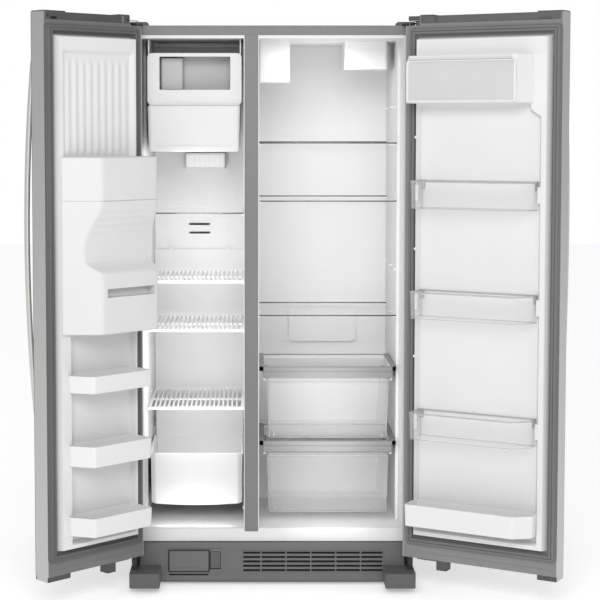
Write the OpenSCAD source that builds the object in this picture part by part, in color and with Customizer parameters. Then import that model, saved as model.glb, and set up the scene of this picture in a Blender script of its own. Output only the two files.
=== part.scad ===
// Side by side refrigerator: freezer on the left, fresh food on the right, doors standing open.
// Frame: X across, Y from front (-) to back (+), Z up. Origin on the floor, under the cabinet's centre.

/* [Cabinet] */
// width of the cabinet, side to side
cab_w = 832; // [700:1:950]
// depth of the cabinet without its doors
cab_d = 720; // [600:1:800]
// height of the cabinet's top panel
cab_h = 1654; // [1500:1:1800]
// height of the bottom edge of the cabinet front, above the grille
cab_z0 = 130; // [100:1:160]
// thickness of the steel wrapper
sheet = 1.2; // [0.8:0.1:3]
// width of the side and top front flanges
flange = 27.5; // [20:0.5:40]
// centre line of the mullion between the two compartments
mull_x = -61.5; // [-120:0.5:0]
// width of the mullion cover
mull_w = 40; // [30:1:80]

/* [Compartments] */
// height of the compartment floors
floor_z = 167; // [150:1:200]
// height of the compartment ceilings
ceil_z = 1617; // [1500:1:1700]
// depth position of the back walls
back_y = 180; // [100:1:250]
// how far forward the machine compartment hump comes
hump_y = 60; // [0:1:120]
// height of the machine compartment hump
hump_z = 400; // [300:1:450]
// thickness of the plastic liner
liner_t = 1.5; // [1:0.1:4]

/* [Doors] */
// height of the doors' bottom edge
door_z0 = 101; // [80:1:130]
// height of the doors' top edge
door_z1 = 1676; // [1500:1:1800]
// thickness of the door body
door_t = 62; // [50:1:90]
// width of the freezer door
door_w_left = 354; // [300:1:420]
// width of the fresh food door
door_w_right = 473; // [400:1:560]
// angle of the freezer door at rest, from closed
open_left = 135; // [0:1:150]
// angle of the fresh food door at rest, from closed
open_right = 150; // [0:1:155]
// distance from the cabinet's side to the hinge pins
pin_in = 10; // [6:1:20]
// radius of the hinge pins
pin_r = 5; // [4:0.5:8]

/* [Shelves] */
// heights of the three glass shelves in the fresh food side
glass_z = [1313, 1139, 794]; // []
// heights of the two crisper covers
crisper_z = [637, 411]; // []
// depth position of the shelf fronts
shelf_y = -250; // [-300:1:-200]
// depth of the glass shelves
shelf_d = 378; // [300:1:420]
// depth of the crisper covers
crisper_d = 296; // [250:1:300]
// heights of the freezer shelves, from the top
freezer_z = [1103, 896, 749, 512]; // []

/* [Hidden] */
$fn = 48;
hw = cab_w / 2;
yf = -cab_d / 2;
yb = cab_d / 2;
pin_y = yf - 43;
pin_xl = -(hw - pin_in);
pin_xr = hw - pin_in;
yi = yf - 14;
yo = yi - door_t;
dxl0 = -hw;
dxl1 = -hw + door_w_left;
dxr0 = hw - door_w_right;
dxr1 = hw;
wall_out = 384;
wall_in = 376;
step_y = -235;
fz_r = mull_x - mull_w / 2 - 2.5;
fr_l = mull_x + mull_w / 2 + 2.5;
shelf_r = 374.5;
steel = [0.72, 0.72, 0.70];
grey = [0.53, 0.53, 0.53];
dark = [0.36, 0.36, 0.36];
white = [0.93, 0.93, 0.93];
clear = [0.85, 0.90, 0.90, 0.4];

// ---------- helpers ----------
module box(x0, x1, y0, y1, z0, z1) {
    translate([x0, y0, z0]) cube([x1 - x0, y1 - y0, z1 - z0]);
}

// rectangle with round corners, from corner to corner
module rrect(x0, x1, y0, y1, r) {
    translate([x0 + r, y0]) square([x1 - x0 - 2 * r, y1 - y0]);
    translate([x0, y0 + r]) square([x1 - x0, y1 - y0 - 2 * r]);
    for (x = [x0 + r, x1 - r], y = [y0 + r, y1 - r]) translate([x, y]) circle(r = r);
}

module rbox(x0, x1, y0, y1, z0, z1, r) {
    translate([0, 0, z0]) linear_extrude(z1 - z0) rrect(x0, x1, y0, y1, r);
}

// a plate that lies in the XZ plane with round corners, from y0 to y1
module rplate(x0, x1, z0, z1, y0, y1, r) {
    translate([0, y1, 0]) rotate([90, 0, 0]) linear_extrude(y1 - y0) rrect(x0, x1, z0, z1, r);
}

module vcyl(x, y, z0, z1, r) {
    translate([x, y, z0]) cylinder(r = r, h = z1 - z0);
}

module ycyl(x, z, y0, y1, r) {
    translate([x, y1, z]) rotate([90, 0, 0]) cylinder(r = r, h = y1 - y0);
}

module xcyl(y, z, x0, x1, r) {
    translate([x0, y, z]) rotate([0, 90, 0]) cylinder(r = r, h = x1 - x0);
}

// a door's own parts are drawn closed and then swung to the rest angle
module swing_left() {
    translate([pin_xl, pin_y, 0]) rotate([0, 0, -open_left]) translate([-pin_xl, -pin_y, 0]) children();
}

module swing_right() {
    translate([pin_xr, pin_y, 0]) rotate([0, 0, open_right]) translate([-pin_xr, -pin_y, 0]) children();
}

// outline seen from above, drawn from the left pin: a along the door, b towards the cabinet
module plan_left(points, z0, z1) {
    translate([pin_xl, pin_y, z0]) linear_extrude(z1 - z0) polygon(points);
}

module plan_right(points, z0, z1) {
    translate([pin_xr, pin_y, z0]) mirror([1, 0, 0]) linear_extrude(z1 - z0) polygon(points);
}

// ---------- cabinet ----------
module outer_wrapper() {
    color(grey) {
        for (s = [-1, 1]) {
            box(s < 0 ? -hw : hw - sheet, s < 0 ? -hw + sheet : hw, yf, yb, 22, cab_h);
            box(s < 0 ? -hw : hw - flange, s < 0 ? -hw + flange : hw, yf, yf + sheet, cab_z0, cab_h);
        }
        box(-hw, hw, yf, yb, cab_h - sheet, cab_h);
        box(-hw, hw, yf, yf + sheet, cab_h - 28, cab_h);
        difference() {
            box(-hw, hw, yb - sheet, yb, 22, cab_h);
            // ventilation slots over the machine compartment
            for (i = [0 : 9]) box(-300 + i * 40, -276 + i * 40, yb - 5, yb + 5, 60, 68);
            for (i = [0 : 9]) box(-300 + i * 40, -276 + i * 40, yb - 5, yb + 5, 84, 92);
            for (i = [0 : 9]) box(-300 + i * 40, -276 + i * 40, yb - 5, yb + 5, 108, 116);
            for (i = [0 : 9]) box(-300 + i * 40, -276 + i * 40, yb - 5, yb + 5, 132, 140);
            // power inlet and water stub
            box(338, 386, yb - 5, yb + 5, 208, 242);
            ycyl(-375, 290, yb - 5, yb + 5, 12);
        }
    }
}

// freezer space grown by d; wide in front where the door's shelves reach in
module freezer_space(d) {
    box(-wall_out - d, fz_r + d, yf - 1 - d, step_y + d, floor_z - d, ceil_z + d);
    box(-wall_in - d, fz_r + d, step_y - 5, hump_y + d, floor_z - d, ceil_z + d);
    box(-wall_in - d, fz_r + d, step_y - 5, 290 + d, hump_z - d, ceil_z + d);
}

module fridge_space(d) {
    box(fr_l - d, wall_out + d, yf - 1 - d, step_y + d, floor_z - d, ceil_z + d);
    box(fr_l - d, wall_in + d, step_y - 5, hump_y + d, floor_z - d, ceil_z + d);
    box(fr_l - d, wall_in + d, step_y - 5, back_y + d, hump_z - d, ceil_z + d);
}

module foam_insulation() {
    color([0.9, 0.85, 0.7])
    difference() {
        box(-hw + sheet + 0.2, hw - sheet - 0.2, yf + 4, yb - sheet - 0.3, cab_z0 + 4, cab_h - sheet - 0.3);
        freezer_space(liner_t + 0.2);
        fridge_space(liner_t + 0.2);
        // machine compartment
        box(-hw, hw, 118, yb + 10, 0, 342);
    }
}

module cabinet_liner() {
    color(white) {
        difference() {
            intersection() {
                union() {
                    freezer_space(liner_t);
                    fridge_space(liner_t);
                }
                box(-hw, hw, yf + 1.5, yb, 0, cab_h);
            }
            freezer_space(0);
            fridge_space(0);
        }
        // front returns that meet the flanges and the mullion
        difference() {
            box(-hw + flange + 0.3, hw - flange - 0.3, yf, yf + 3, cab_z0, cab_h - 28.3);
            box(-wall_out, fz_r, yf - 5, yf + 5, floor_z, ceil_z);
            box(fr_l, wall_out, yf - 5, yf + 5, floor_z, ceil_z);
            box(mull_x - mull_w / 2 - 0.3, mull_x + mull_w / 2 + 0.3, yf - 5, yf + 1.5, 159, cab_h);
        }
        // raised lip along the bottom front
        box(-wall_out, fz_r, yf + 1.5, yf + 12, floor_z - 1, floor_z + 2.5);
        box(fr_l, wall_out, yf + 1.5, yf + 12, floor_z - 1, floor_z + 2.5);
        // studs and rails that the fresh food shelves sit on
        for (z = glass_z) {
            for (y = [-225, -70, 100]) {
                xcyl(y, z - 7.4, wall_in - 10, wall_in + 0.5, 3);
                xcyl(y, z - 7.4, fr_l - 0.5, fr_l + 10, 3);
            }
        }
        // spare studs for another shelf height
        for (z = [1420, 930]) {
            for (y = [-225, -70, 100]) xcyl(y, z, wall_in - 8, wall_in + 0.5, 3.4);
        }
        // rails under the freezer shelves
        for (z = freezer_z) {
            box(-wall_in - 0.5, -wall_in + 7, -222, 130, z - 13, z - 6.4);
            box(fz_r - 5, fz_r + 0.5, -222, 130, z - 13, z - 6.4);
        }
        // panel on the back wall of the fresh food side
        rplate(60, 280, 660, 775, back_y - 9, back_y + 0.5, 18);
        // ribs beside the floor
        box(-wall_in - 0.5, -wall_in + 4, -225, 50, 196, 204);
        box(fz_r - 4, fz_r + 0.5, -225, 50, 196, 204);
    }
}

module mullion_cover() {
    color(grey) box(mull_x - mull_w / 2, mull_x + mull_w / 2, yf, yf + 1.2, 159.5, cab_h - 28.3);
}

module base_frame() {
    color(dark) {
        for (s = [-1, 1]) {
            box(s < 0 ? -412 : 400, s < 0 ? -400 : 412, yf + 12, yb - 3, 24, cab_z0 - 1);
        }
        // front plate under the compartments
        difference() {
            box(-412, 412, yf + 12, 117, cab_z0 - 4, cab_z0 - 1);
            box(-260, -240, -300, -100, 0, 200);
        }
        difference() {
            box(-412, 412, yf + 12, yf + 16, 46, cab_z0 - 1);
            ycyl(-246.7, 74, yf, yf + 30, 34);
        }
        // floor of the machine compartment
        box(-412, 412, 118, yb - 3, 45.5, 48.5);
        box(-412, 412, 116.5, 119, 45.5, cab_z0 - 1);
        // roller forks and the nuts of the levelling legs
        for (s = [-1, 1]) {
            translate([s * 375, yf + 40, 0]) difference() {
                box(-14, 14, -14, 14, 46, cab_z0 - 1);
                vcyl(0, 0, 20, 120, 6.05);
            }
            for (y = [yf + 85, yb - 60]) {
                for (x = [348, 382]) {
                    difference() {
                        box(s * x - 2.5, s * x + 2.5, y - 12, y + 12, 16, 60);
                        xcyl(y, y < 0 ? 26 : 22, s * x - 10, s * x + 10, 4.05);
                    }
                }
                box(s * 365 - 19.5, s * 365 + 19.5, y - 12, y + 12, 55, 60);
            }
        }
        box(-412, -282, yf + 70, yf + 100, 59, 63);
        box(-212, 412, yf + 70, yf + 100, 59, 63);
        box(-212, -208, yf + 70, yf + 100, 59, cab_z0 - 1);
        box(-286, -282, yf + 70, yf + 100, 59, cab_z0 - 1);
    }
}

module toe_grille() {
    color([0.42, 0.42, 0.42])
    difference() {
        union() {
            box(-393, 393, yf - 9, yf - 5, 12, 128);
            box(-393, 393, yf - 9, yf + 10, 124, 128);
            box(-393, -389, yf - 9, yf + 10, 60, 128);
            box(389, 393, yf - 9, yf + 10, 60, 128);
            // raised frame around the filter door
            rplate(-314, -147, 37, 110, yf - 11.5, yf - 7, 4);
            // louvre field
            rplate(-92, 329.6, 38, 104, yf - 11, yf - 7, 4);
        }
        // filter opening
        box(-308.5, -185, yf - 30, yf, 39.5, 107.2);
        // recess of the release button
        box(-184, -152.5, yf - 30, yf, 48, 102);
        for (i = [0 : 4]) {
            for (k = [0 : 5]) {
                box(max(-85.6, -107 + k * 74 + 2), min(327.6, -33 + k * 74 - 2), yf - 30, yf, 41.4 + i * 13.2, 48.2 + i * 13.2);
            }
        }
        // long slot under the filter door
        box(-307, -190, yf - 30, yf, 28.6, 33.4);
    }
}

module hinge_brackets() {
    color([0.75, 0.75, 0.76])
    for (s = [-1, 1]) {
        px = s * pin_xr;
        // upper bracket on the cabinet top, its pin points down into the door
        box(min(px - s * 4, px - s * 27), max(px - s * 4, px - s * 27), pin_y, yf + 90, cab_h + 0.4, cab_h + 5);
        vcyl(px, pin_y, cab_h + 0.4, cab_h + 5, 9);
        box(px - 6, px + 6, pin_y, yf + 20, cab_h + 0.4, cab_h + 5);
        vcyl(px, pin_y, cab_h - 34, cab_h + 3, pin_r);
        for (y = [yf + 30, yf + 70]) vcyl(px - s * 15, y, cab_h + 3, cab_h + 6.8, 6);
        // lower bracket under the door, its pin points up
        box(px - 8.5, px + 8.5, pin_y - 14, yf + 11.5, 60, 65);
        box(px - 8.5, px + 8.5, yf + 8, yf + 11.5, 60, 122);
        vcyl(px, pin_y, 63, 140, pin_r);
        vcyl(px, pin_y, 63, door_z0 - 1, 9);
    }
}

module hinge_covers() {
    color([0.42, 0.42, 0.42]) {
        for (s = [-1, 1]) {
            px = s * pin_xr;
            // cover over the upper hinge
            difference() {
                translate([0, 0, cab_h + 0.4]) linear_extrude(10) rrect(min(px + s * 9, px - s * 40), max(px + s * 9, px - s * 40), yf + 1, yf + 104, 6);
                box(min(px + s * 6, px - s * 36), max(px + s * 6, px - s * 36), yf + 4, yf + 100, cab_h - 1, cab_h + 7.5);
                box(px - 10.5, px + 10.5, yf - 2, yf + 30, cab_h - 1, cab_h + 5.3);
                box(min(px - s * 3, px - s * 28), max(px - s * 3, px - s * 28), yf - 2, yf + 30, cab_h - 1, cab_h + 5.3);
            }
            // foot cover in front of the lower hinge
            difference() {
                union() {
                    rbox(min(s * 330, s * 418), max(s * 330, s * 418), yf - 108, yf - 9.3, 16, 59, 7);
                    box(min(s * 330, s * 418), max(s * 330, s * 418), yf - 50, yf - 9.3, 16, 59);
                }
                box(min(s * 334, s * 414), max(s * 334, s * 414), yf - 104, yf, 10, 54.5);
                vcyl(px, pin_y, 40, 80, 9.5);
            }
        }
    }
}

module evaporator_cover() {
    color(white) {
        difference() {
            union() {
                box(-wall_in + 0.8, fz_r - 0.8, back_y, back_y + 2.5, 961, ceil_z - 0.4);
                box(-wall_in + 0.8, fz_r - 0.8, back_y - 12, back_y + 2.5, hump_z + 2, 962);
            }
            // air slots
            for (z = [1012, 1040]) {
                rplate(-264, -196, z, z + 7, back_y - 20, back_y + 20, 3.4);
            }
            for (i = [0 : 5]) box(-330 + i * 34, -306 + i * 34, back_y - 20, back_y + 20, 430, 438);
        }
        // lamp cover under the ice bin
        rbox(-273, -146, back_y - 60, back_y - 0.1, 1226, 1275, 6);
        // clips between the two panels
        for (x = [-323, -140]) rplate(x - 5, x + 5, 956, 972, back_y - 16, back_y - 12.1, 3);
    }
}

module evaporator() {
    color([0.75, 0.76, 0.78]) {
        for (i = [0 : 6]) {
            xcyl(225, 480 + i * 40, -355, -105, 4.5);
            xcyl(255, 480 + i * 40, -355, -105, 4.5);
        }
        for (x = [-350, -300, -250, -200, -150, -110]) box(x - 0.8, x + 0.8, 205, 280, 460, 740);
    }
}

module ice_maker_housing() {
    color(white) {
        difference() {
            rplate(-368, -90, 1424, 1576, -322, -316, 12);
            box(-332, -124, -400, -300, 1468, 1565);
        }
        box(-366, -362, -316, -30, 1426, ceil_z - 0.2);
        box(-96, -92, -316, -30, 1426, ceil_z - 0.2);
        box(-366, -92, -316, -30, 1567, 1572);
        // the side walls reach up to the ceiling; ledge below the window
        box(-332, -124, -316, -296, 1456, 1467);
        box(-332, -124, -318, -314, 1446, 1458);
    }
}

module ice_maker() {
    color([0.7, 0.7, 0.7]) {
        rbox(-330, -264, -290, -60, 1470, 1562, 6);
        difference() {
            box(-264, -126, -250, -70, 1482, 1530);
            for (i = [0 : 5]) box(-256, -134, -242 + i * 28, -220 + i * 28, 1490, 1535);
        }
        box(-262, -110, -75, -55, 1500, 1566.8);
        // cover in front of the mould
        box(-264.2, -122, -258, -249.5, 1469, 1566.8);
    }
}

module ice_maker_arm() {
    color([0.8, 0.8, 0.8]) {
        xcyl(-200, 1476, -346, -330.4, 4);
        box(-350, -346, -204, -196, 1430, 1480);
    }
}

module control_housing() {
    color([0.95, 0.95, 0.95]) {
        rbox(fr_l + 0.5, 54, -255, 20, 1492, ceil_z - 0.2, 6);
    }
}

module light_lens() {
    color([0.95, 0.95, 0.95, 0.6]) {
        rbox(222, 352, -160, 40, 1534, ceil_z - 0.2, 10);
    }
}

module compressor() {
    color([0.15, 0.15, 0.16]) {
        vcyl(-250, 240, 70, 190, 82);
        translate([-250, 240, 190]) cylinder(r1 = 82, r2 = 58, h = 22);
        vcyl(-250, 240, 60, 70, 70);
        box(-330, -170, 215, 265, 52, 60.5);
        box(-336, -330, 205, 275, 90, 150);
        for (x = [-322, -178], y = [222, 258]) vcyl(x, y, 48.6, 60, 8);
    }
}

module condenser() {
    color([0.12, 0.12, 0.13]) {
        for (i = [0 : 5]) {
            xcyl(190, 62 + i * 30, 60, 330, 4);
            xcyl(220, 62 + i * 30, 60, 330, 4);
            xcyl(250, 62 + i * 30, 60, 330, 4);
        }
        for (x = [70, 150, 230, 320]) box(x - 0.8, x + 0.8, 178, 262, 48.6, 226);
    }
}

module fan_shroud() {
    color([0.2, 0.2, 0.2]) {
        difference() {
            union() {
                difference() {
                    box(-20, -14, 150, 320, 48.6, 230);
                    xcyl(235, 138, -30, 0, 78);
                }
                box(-20, -14, 231, 239, 55, 220);
                xcyl(235, 138, -52, -14, 22);
            }
            xcyl(235, 138, -60, 0, 3.05);
        }
    }
}

module condenser_fan() {
    color([0.25, 0.25, 0.25]) {
        xcyl(235, 138, -50, 24, 3);
        xcyl(235, 138, -12, 20, 18);
        for (k = [0 : 4]) {
            translate([4, 235, 138]) rotate([72 * k, 0, 0]) rotate([0, 0, 28]) box(-2, 2, -14, 14, 12, 72);
        }
    }
}

module drain_pan() {
    color([0.25, 0.25, 0.25]) {
        difference() {
            box(-140, -64, 160, 330, 48.7, 78);
            box(-137, -67, 163, 327, 52, 90);
        }
    }
}

module rear_connections() {
    color([0.2, 0.2, 0.2]) {
        // power inlet
        rplate(340, 384, 210, 240, yb - 26, yb - 0.4, 4);
        for (x = [352, 362, 372]) box(x - 1.5, x + 1.5, yb - 1, yb, 220, 230);
        // water valve with its threaded stub
        box(-398, -352, yb - 60, yb - 2, 210, 252);
        ycyl(-375, 290, yb - 30, yb - 0.3, 9);
        box(-381, -369, yb - 30, yb - 16, 250, 286);
    }
}

// ---------- fresh food side ----------
module glass_shelf(z) {
    rbox(fr_l + 1, shelf_r, shelf_y, shelf_y + shelf_d, z - 4, z, 6);
}

module glass_shelf_top() {
    color(clear) glass_shelf(glass_z[0]);
}

module glass_shelf_middle() {
    color(clear) glass_shelf(glass_z[1]);
}

module glass_shelf_bottom() {
    color(clear) glass_shelf(glass_z[2]);
}

module crisper_frames() {
    color([0.66, 0.66, 0.66])
    for (z = crisper_z) {
        // front trim, side rails that carry the drawer, rear bar
        box(-24, 363, shelf_y - 1, shelf_y + 12, z - 34, z);
        for (s = [0, 1]) {
            x0 = s == 0 ? fr_l + 0.4 : 363;
            x1 = s == 0 ? -24 : 375.6;
            box(x0, x1, shelf_y - 2, shelf_y + crisper_d, z - 14, z + 2);
            box(s == 0 ? -25 : 357, s == 0 ? -17 : 364, shelf_y + 14, shelf_y + crisper_d, z - 44, z - 38);
            box(s == 0 ? -25 : 361, s == 0 ? -22 : 364, shelf_y + 11, shelf_y + crisper_d, z - 44, z - 4.4);
        }
        box(-25, 364, shelf_y + crisper_d - 10, shelf_y + crisper_d, z - 14, z - 4.4);
    }
}

module crisper_glass() {
    color(clear)
    for (z = crisper_z) box(-23.6, 362.6, shelf_y + 12.2, shelf_y + crisper_d - 0.2, z - 4, z);
}

// a crisper drawer: tapered box with a flange that hangs on the side rails
module crisper_drawer(z0, z1) {
    difference() {
        union() {
            translate([0, shelf_y + 283, 0]) rotate([90, 0, 0]) linear_extrude(279) polygon([[-20.5, z1], [359.5, z1], [359.5, z1 - 3], [355.5, z1 - 3], [348, z0], [-9, z0], [-16.5, z1 - 3], [-20.5, z1 - 3]]);
            box(-15.5, 354.5, shelf_y + 2, shelf_y + 4.5, z0, z1 - 10);
        }
        translate([0, shelf_y + 280, 0]) rotate([90, 0, 0]) linear_extrude(273) polygon([[-13.5, z1 + 1], [352.5, z1 + 1], [345.2, z0 + 3], [-6.2, z0 + 3]]);
    }
}

module crisper_upper() {
    color(clear) crisper_drawer(crisper_z[1] + 8, crisper_z[0] - 34.6);
}

module crisper_lower() {
    color(clear) crisper_drawer(floor_z + 24, crisper_z[1] - 34.6);
}

// ---------- freezer side ----------
module freezer_glass_shelf() {
    color(clear) {
        rbox(-wall_in + 1, fz_r - 1, shelf_y, 165, freezer_z[0] - 6, freezer_z[0], 6);
    }
}

// moulded shelf with a front rail and lengthwise ribs
module ribbed_shelf(z) {
    x0 = -wall_in + 1;
    x1 = fz_r - 1;
    box(x0, x1, shelf_y, shelf_y + 10, z - 6, z + 1);
    box(x0, x1, 120, 128, z - 6, z);
    box(x0, x0 + 8, shelf_y, 128, z - 6, z);
    box(x1 - 8, x1, shelf_y, 128, z - 6, z);
    for (i = [1 : 19]) {
        box(x0 + 6 + i * 13.8 - 2.5, x0 + 6 + i * 13.8 + 2.5, shelf_y + 5, 125, z - 5, z - 0.5);
    }
    box(x0, x1, -70, -62, z - 6, z - 2);
}

module freezer_shelf_upper() {
    color(white) ribbed_shelf(freezer_z[1]);
}

module freezer_shelf_lower() {
    color(white) ribbed_shelf(freezer_z[2]);
}

module basket_shelf() {
    color(white) ribbed_shelf(freezer_z[3]);
}

// open basket: curved front, tall back
module freezer_basket() {
    color(white) {
        difference() {
            union() {
                rbox(-366, -88, -262, 45, 215, 376, 10);
                box(-366, -88, 30, 45, 300, 470);
            }
            rbox(-362, -92, -258, 41, 220, 500, 8);
            // the back corner openings
            box(-340, -114, 20, 60, 390, 450);
        }
        // side rails that carry the basket
        for (s = [0, 1]) {
            box(s == 0 ? -372.5 : -92, s == 0 ? -362 : -86.5, -255, 45, 370, 376);
        }
        // rolled front lip
        box(-366, -88, -266, -258, 364, 376);
    }
}

module ice_bin() {
    color(white) {
        difference() {
            union() {
                rbox(-367, -94, -336, -30, 1286, 1421, 8);
                box(-367, -94, -336, -328, 1412, 1421);
            }
            rbox(-363, -98, -331, -34, 1290, 1430, 6);
        }
    }
}

// ---------- base parts ----------
module filter_cover() {
    color([0.42, 0.42, 0.42]) {
        rplate(-307, -186.5, 41, 106, yf - 14, yf - 10.5, 3);
        box(-303, -190, yf - 11, yf - 7, 41.5, 45);
        // stub pins on the hinge line
        for (x = [-307.8, -190.5]) xcyl(yf - 12.25, 42.5, x, x + 4.8, 1.3);
    }
}

module filter_cartridge() {
    color([0.93, 0.93, 0.95]) {
        ycyl(-246.7, 74, yf - 6, yf + 7, 28);
        ycyl(-246.7, 74, yf + 5, yf + 190, 24);
        box(-266, -227, yf - 9.5, yf - 5, 71, 77);
    }
}

module filter_button() {
    color([0.33, 0.33, 0.33]) {
        rplate(-182.5, -154, 50, 100, yf - 8, yf - 3, 2.5);
        box(-172, -165, yf - 4, yf + 6, 70, 80);
    }
}

module levelling_leg(s) {
    vcyl(s * 375, yf + 40, 0, 9, 16);
    vcyl(s * 375, yf + 40, 8, 110, 6);
    translate([s * 375, yf + 40, 9]) cylinder(r = 11, h = 9, $fn = 6);
}

module levelling_leg_left() {
    color([0.3, 0.3, 0.3]) levelling_leg(-1);
}

module levelling_leg_right() {
    color([0.3, 0.3, 0.3]) levelling_leg(1);
}

module roller_pair(y, z) {
    for (s = [-1, 1]) {
        difference() {
            xcyl(y, z, s * 365 - 13, s * 365 + 13, 22);
            xcyl(y, z, s * 365 - 14, s * 365 - 9, 15);
            xcyl(y, z, s * 365 + 9, s * 365 + 14, 15);
        }
    }
    xcyl(y, z, -388, 388, 4);
}

module front_rollers() {
    color([0.2, 0.2, 0.2]) roller_pair(yf + 85, 26);
}

module rear_rollers() {
    color([0.2, 0.2, 0.2]) roller_pair(yb - 60, 22);
}

// ---------- freezer door, drawn closed ----------
module door_skin(x0, x1, s) {
    // front sheet with rolled vertical edges, turned in at the sides
    difference() {
        translate([0, 0, door_z0]) linear_extrude(door_z1 - door_z0) difference() {
            union() {
                rrect(x0, x1, yo, yi - 10, 9);
                translate([x0, yo + 20]) square([x1 - x0, door_t - 21]);
            }
            union() {
                rrect(x0 + 1.5, x1 - 1.5, yo + 1.5, yi - 5, 7.5);
                translate([x0 + 1.5, yo + 20]) square([x1 - x0 - 3, door_t]);
            }
        }
        // notch for the upper hinge
        box(s < 0 ? x0 - 1 : x1 - 41, s < 0 ? x0 + 41 : x1 + 1, yo + 2, yi + 1, cab_h - 5, door_z1 + 1);
    }
}

module freezer_door_skin() {
    color(steel) swing_left() {
        difference() {
            union() {
                door_skin(dxl0, dxl1, -1);
                box(dxl1 - 1.5, dxl1, yo + 10, yi - 4, door_z0 - 14, door_z0 + 1);
            }
            // opening for the dispenser
            box(-330, -130, yo - 5, yo + 10, 905, 1285);
        }
    }
}

module fridge_door_skin() {
    color(steel) swing_right() {
        door_skin(dxr0, dxr1, 1);
        box(dxr0, dxr0 + 1.5, yo + 10, yi - 4, door_z0 - 14, door_z0 + 1);
    }
}

// foam filled body of a door
module slab(x0, x1) {
    translate([0, 0, door_z0 + 0.2]) linear_extrude(door_z1 - door_z0 - 0.4) {
        rrect(x0 + 1.7, x1 - 1.7, yo + 1.7, yi - 10, 9);
        translate([x0 + 1.7, yo + 20]) square([x1 - x0 - 3.4, yi - 0.5 - yo - 20]);
    }
}

// inner freezer door with its moulded face
module freezer_door_inner() {
    color(white) swing_left() {
        difference() {
            union() {
                slab(dxl0, dxl1);
                // raised field inside the gasket
                plan_left([[30, 26], [30, 52], [36, 58], [308, 58], [316, 50], [316, 26]], 171, 1614);
            }
            // recessed face between the raised edges
            plan_left([[44, 60], [50, 46], [292, 46], [300, 60]], 1276.5, 1572);
            for (i = [0 : 8]) plan_left([[66 + i * 26, 47], [69 + i * 26, 43.5], [75 + i * 26, 43.5], [78 + i * 26, 47]], 1290, 1545);
            // shelf spaces, each with a fence in front
            plan_left([[40, 60], [48, 36], [266, 36], [280, 60]], 190, 783);
            // notch for the upper hinge
            box(dxl0 - 1, dxl0 + 43, yo - 1, yi + 40, cab_h - 5, door_z1 + 1);
            // bores for the hinge pins
            vcyl(pin_xl, pin_y, cab_h - 40, cab_h + 40, pin_r + 0.05);
            vcyl(pin_xl, pin_y, door_z0 - 5, 145, pin_r + 0.05);
            // room for the dispenser
            box(-318, -142, yo - 5, yi + 40, 917, 1273);
        }
        // shelf floors and fences
        for (f = [[620, 669], [413, 472], [216, 270]]) {
            difference() {
                plan_left([[44, 34], [44, 131], [258, 131], [292, 66], [292, 34]], f[0], f[1]);
                plan_left([[48, 30], [48, 127.5], [255.8, 127.5], [288, 66], [288, 30]], f[0] + 4, f[1] + 5);
            }
        }
    }
}

module gasket_ring(x0, x1, z0, z1) {
    difference() {
        rplate(x0, x1, z0, z1, yi + 0.1, yf - 0.5, 6);
        box(x0 + 24, x1 - 24, yi - 5, yf + 5, z0 + 24, z1 - 24);
    }
}

module freezer_gasket() {
    color([0.43, 0.43, 0.43]) swing_left() gasket_ring(pin_xl + 5, dxl1 - 3, 143, 1642);
}

module fridge_gasket() {
    color([0.43, 0.43, 0.43]) swing_right() gasket_ring(dxr0 + 3, pin_xr - 5, 143, 1642);
}

// bow handle on the outside of the door
module bow_handle(x) {
    r = 3560;
    translate([x, yo - 52 + r, 1047]) rotate([0, 90, 0]) rotate([0, 0, 261.6])
    rotate_extrude(angle = 16.8, $fn = 720) translate([r - 9, -9]) square([18, 18]);
    for (z = [545, 1549]) {
        box(x - 9, x + 9, yo - 30, yo - 0.2, z - 12, z + 12);
    }
}

module freezer_handle() {
    color(steel) swing_left() bow_handle(dxl1 - 24);
}

module fridge_handle() {
    color(steel) swing_right() bow_handle(dxr0 + 24);
}

module freezer_door_caps() {
    color([0.40, 0.40, 0.40]) swing_left() {
        // lower edge piece at the free end and the closer hook beside the hinge
        box(pin_xl + 264, dxl1 - 1.7, yo + 4, yi - 1, door_z0 - 14, door_z0 - 0.1);
        box(pin_xl + 97, pin_xl + 128, yi - 34, yi - 1, door_z0 - 28, door_z0 - 0.1);
        box(pin_xl + 26, pin_xl + 97.5, yi - 34, yi - 24, door_z0 - 9, door_z0 - 0.1);
        // top edge piece
        box(dxl0 + 44, dxl0 + 84, yo + 4, yi - 1, door_z1 - 0.1, door_z1 + 3);
        box(dxl1 - 76, dxl1 - 1.7, yo + 4, yi - 1, door_z1 - 0.1, door_z1 + 3);
    }
}

module fridge_door_caps() {
    color([0.40, 0.40, 0.40]) swing_right() {
        box(dxr0 + 1.7, pin_xr - 405, yo + 4, yi - 1, door_z0 - 14, door_z0 - 0.1);
        box(pin_xr - 128, pin_xr - 97, yi - 34, yi - 1, door_z0 - 28, door_z0 - 0.1);
        box(pin_xr - 97.5, pin_xr - 26, yi - 34, yi - 24, door_z0 - 9, door_z0 - 0.1);
        box(dxr0 + 1.7, dxr0 + 76, yo + 4, yi - 1, door_z1 - 0.1, door_z1 + 3);
        box(dxr1 - 84, dxr1 - 44, yo + 4, yi - 1, door_z1 - 0.1, door_z1 + 3);
        // cover over the notch at the upper hinge
        box(dxr1 - 42.9, dxr1 - 8, yo + 4, yi - 1, cab_h + 9, door_z1);
    }
}

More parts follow.
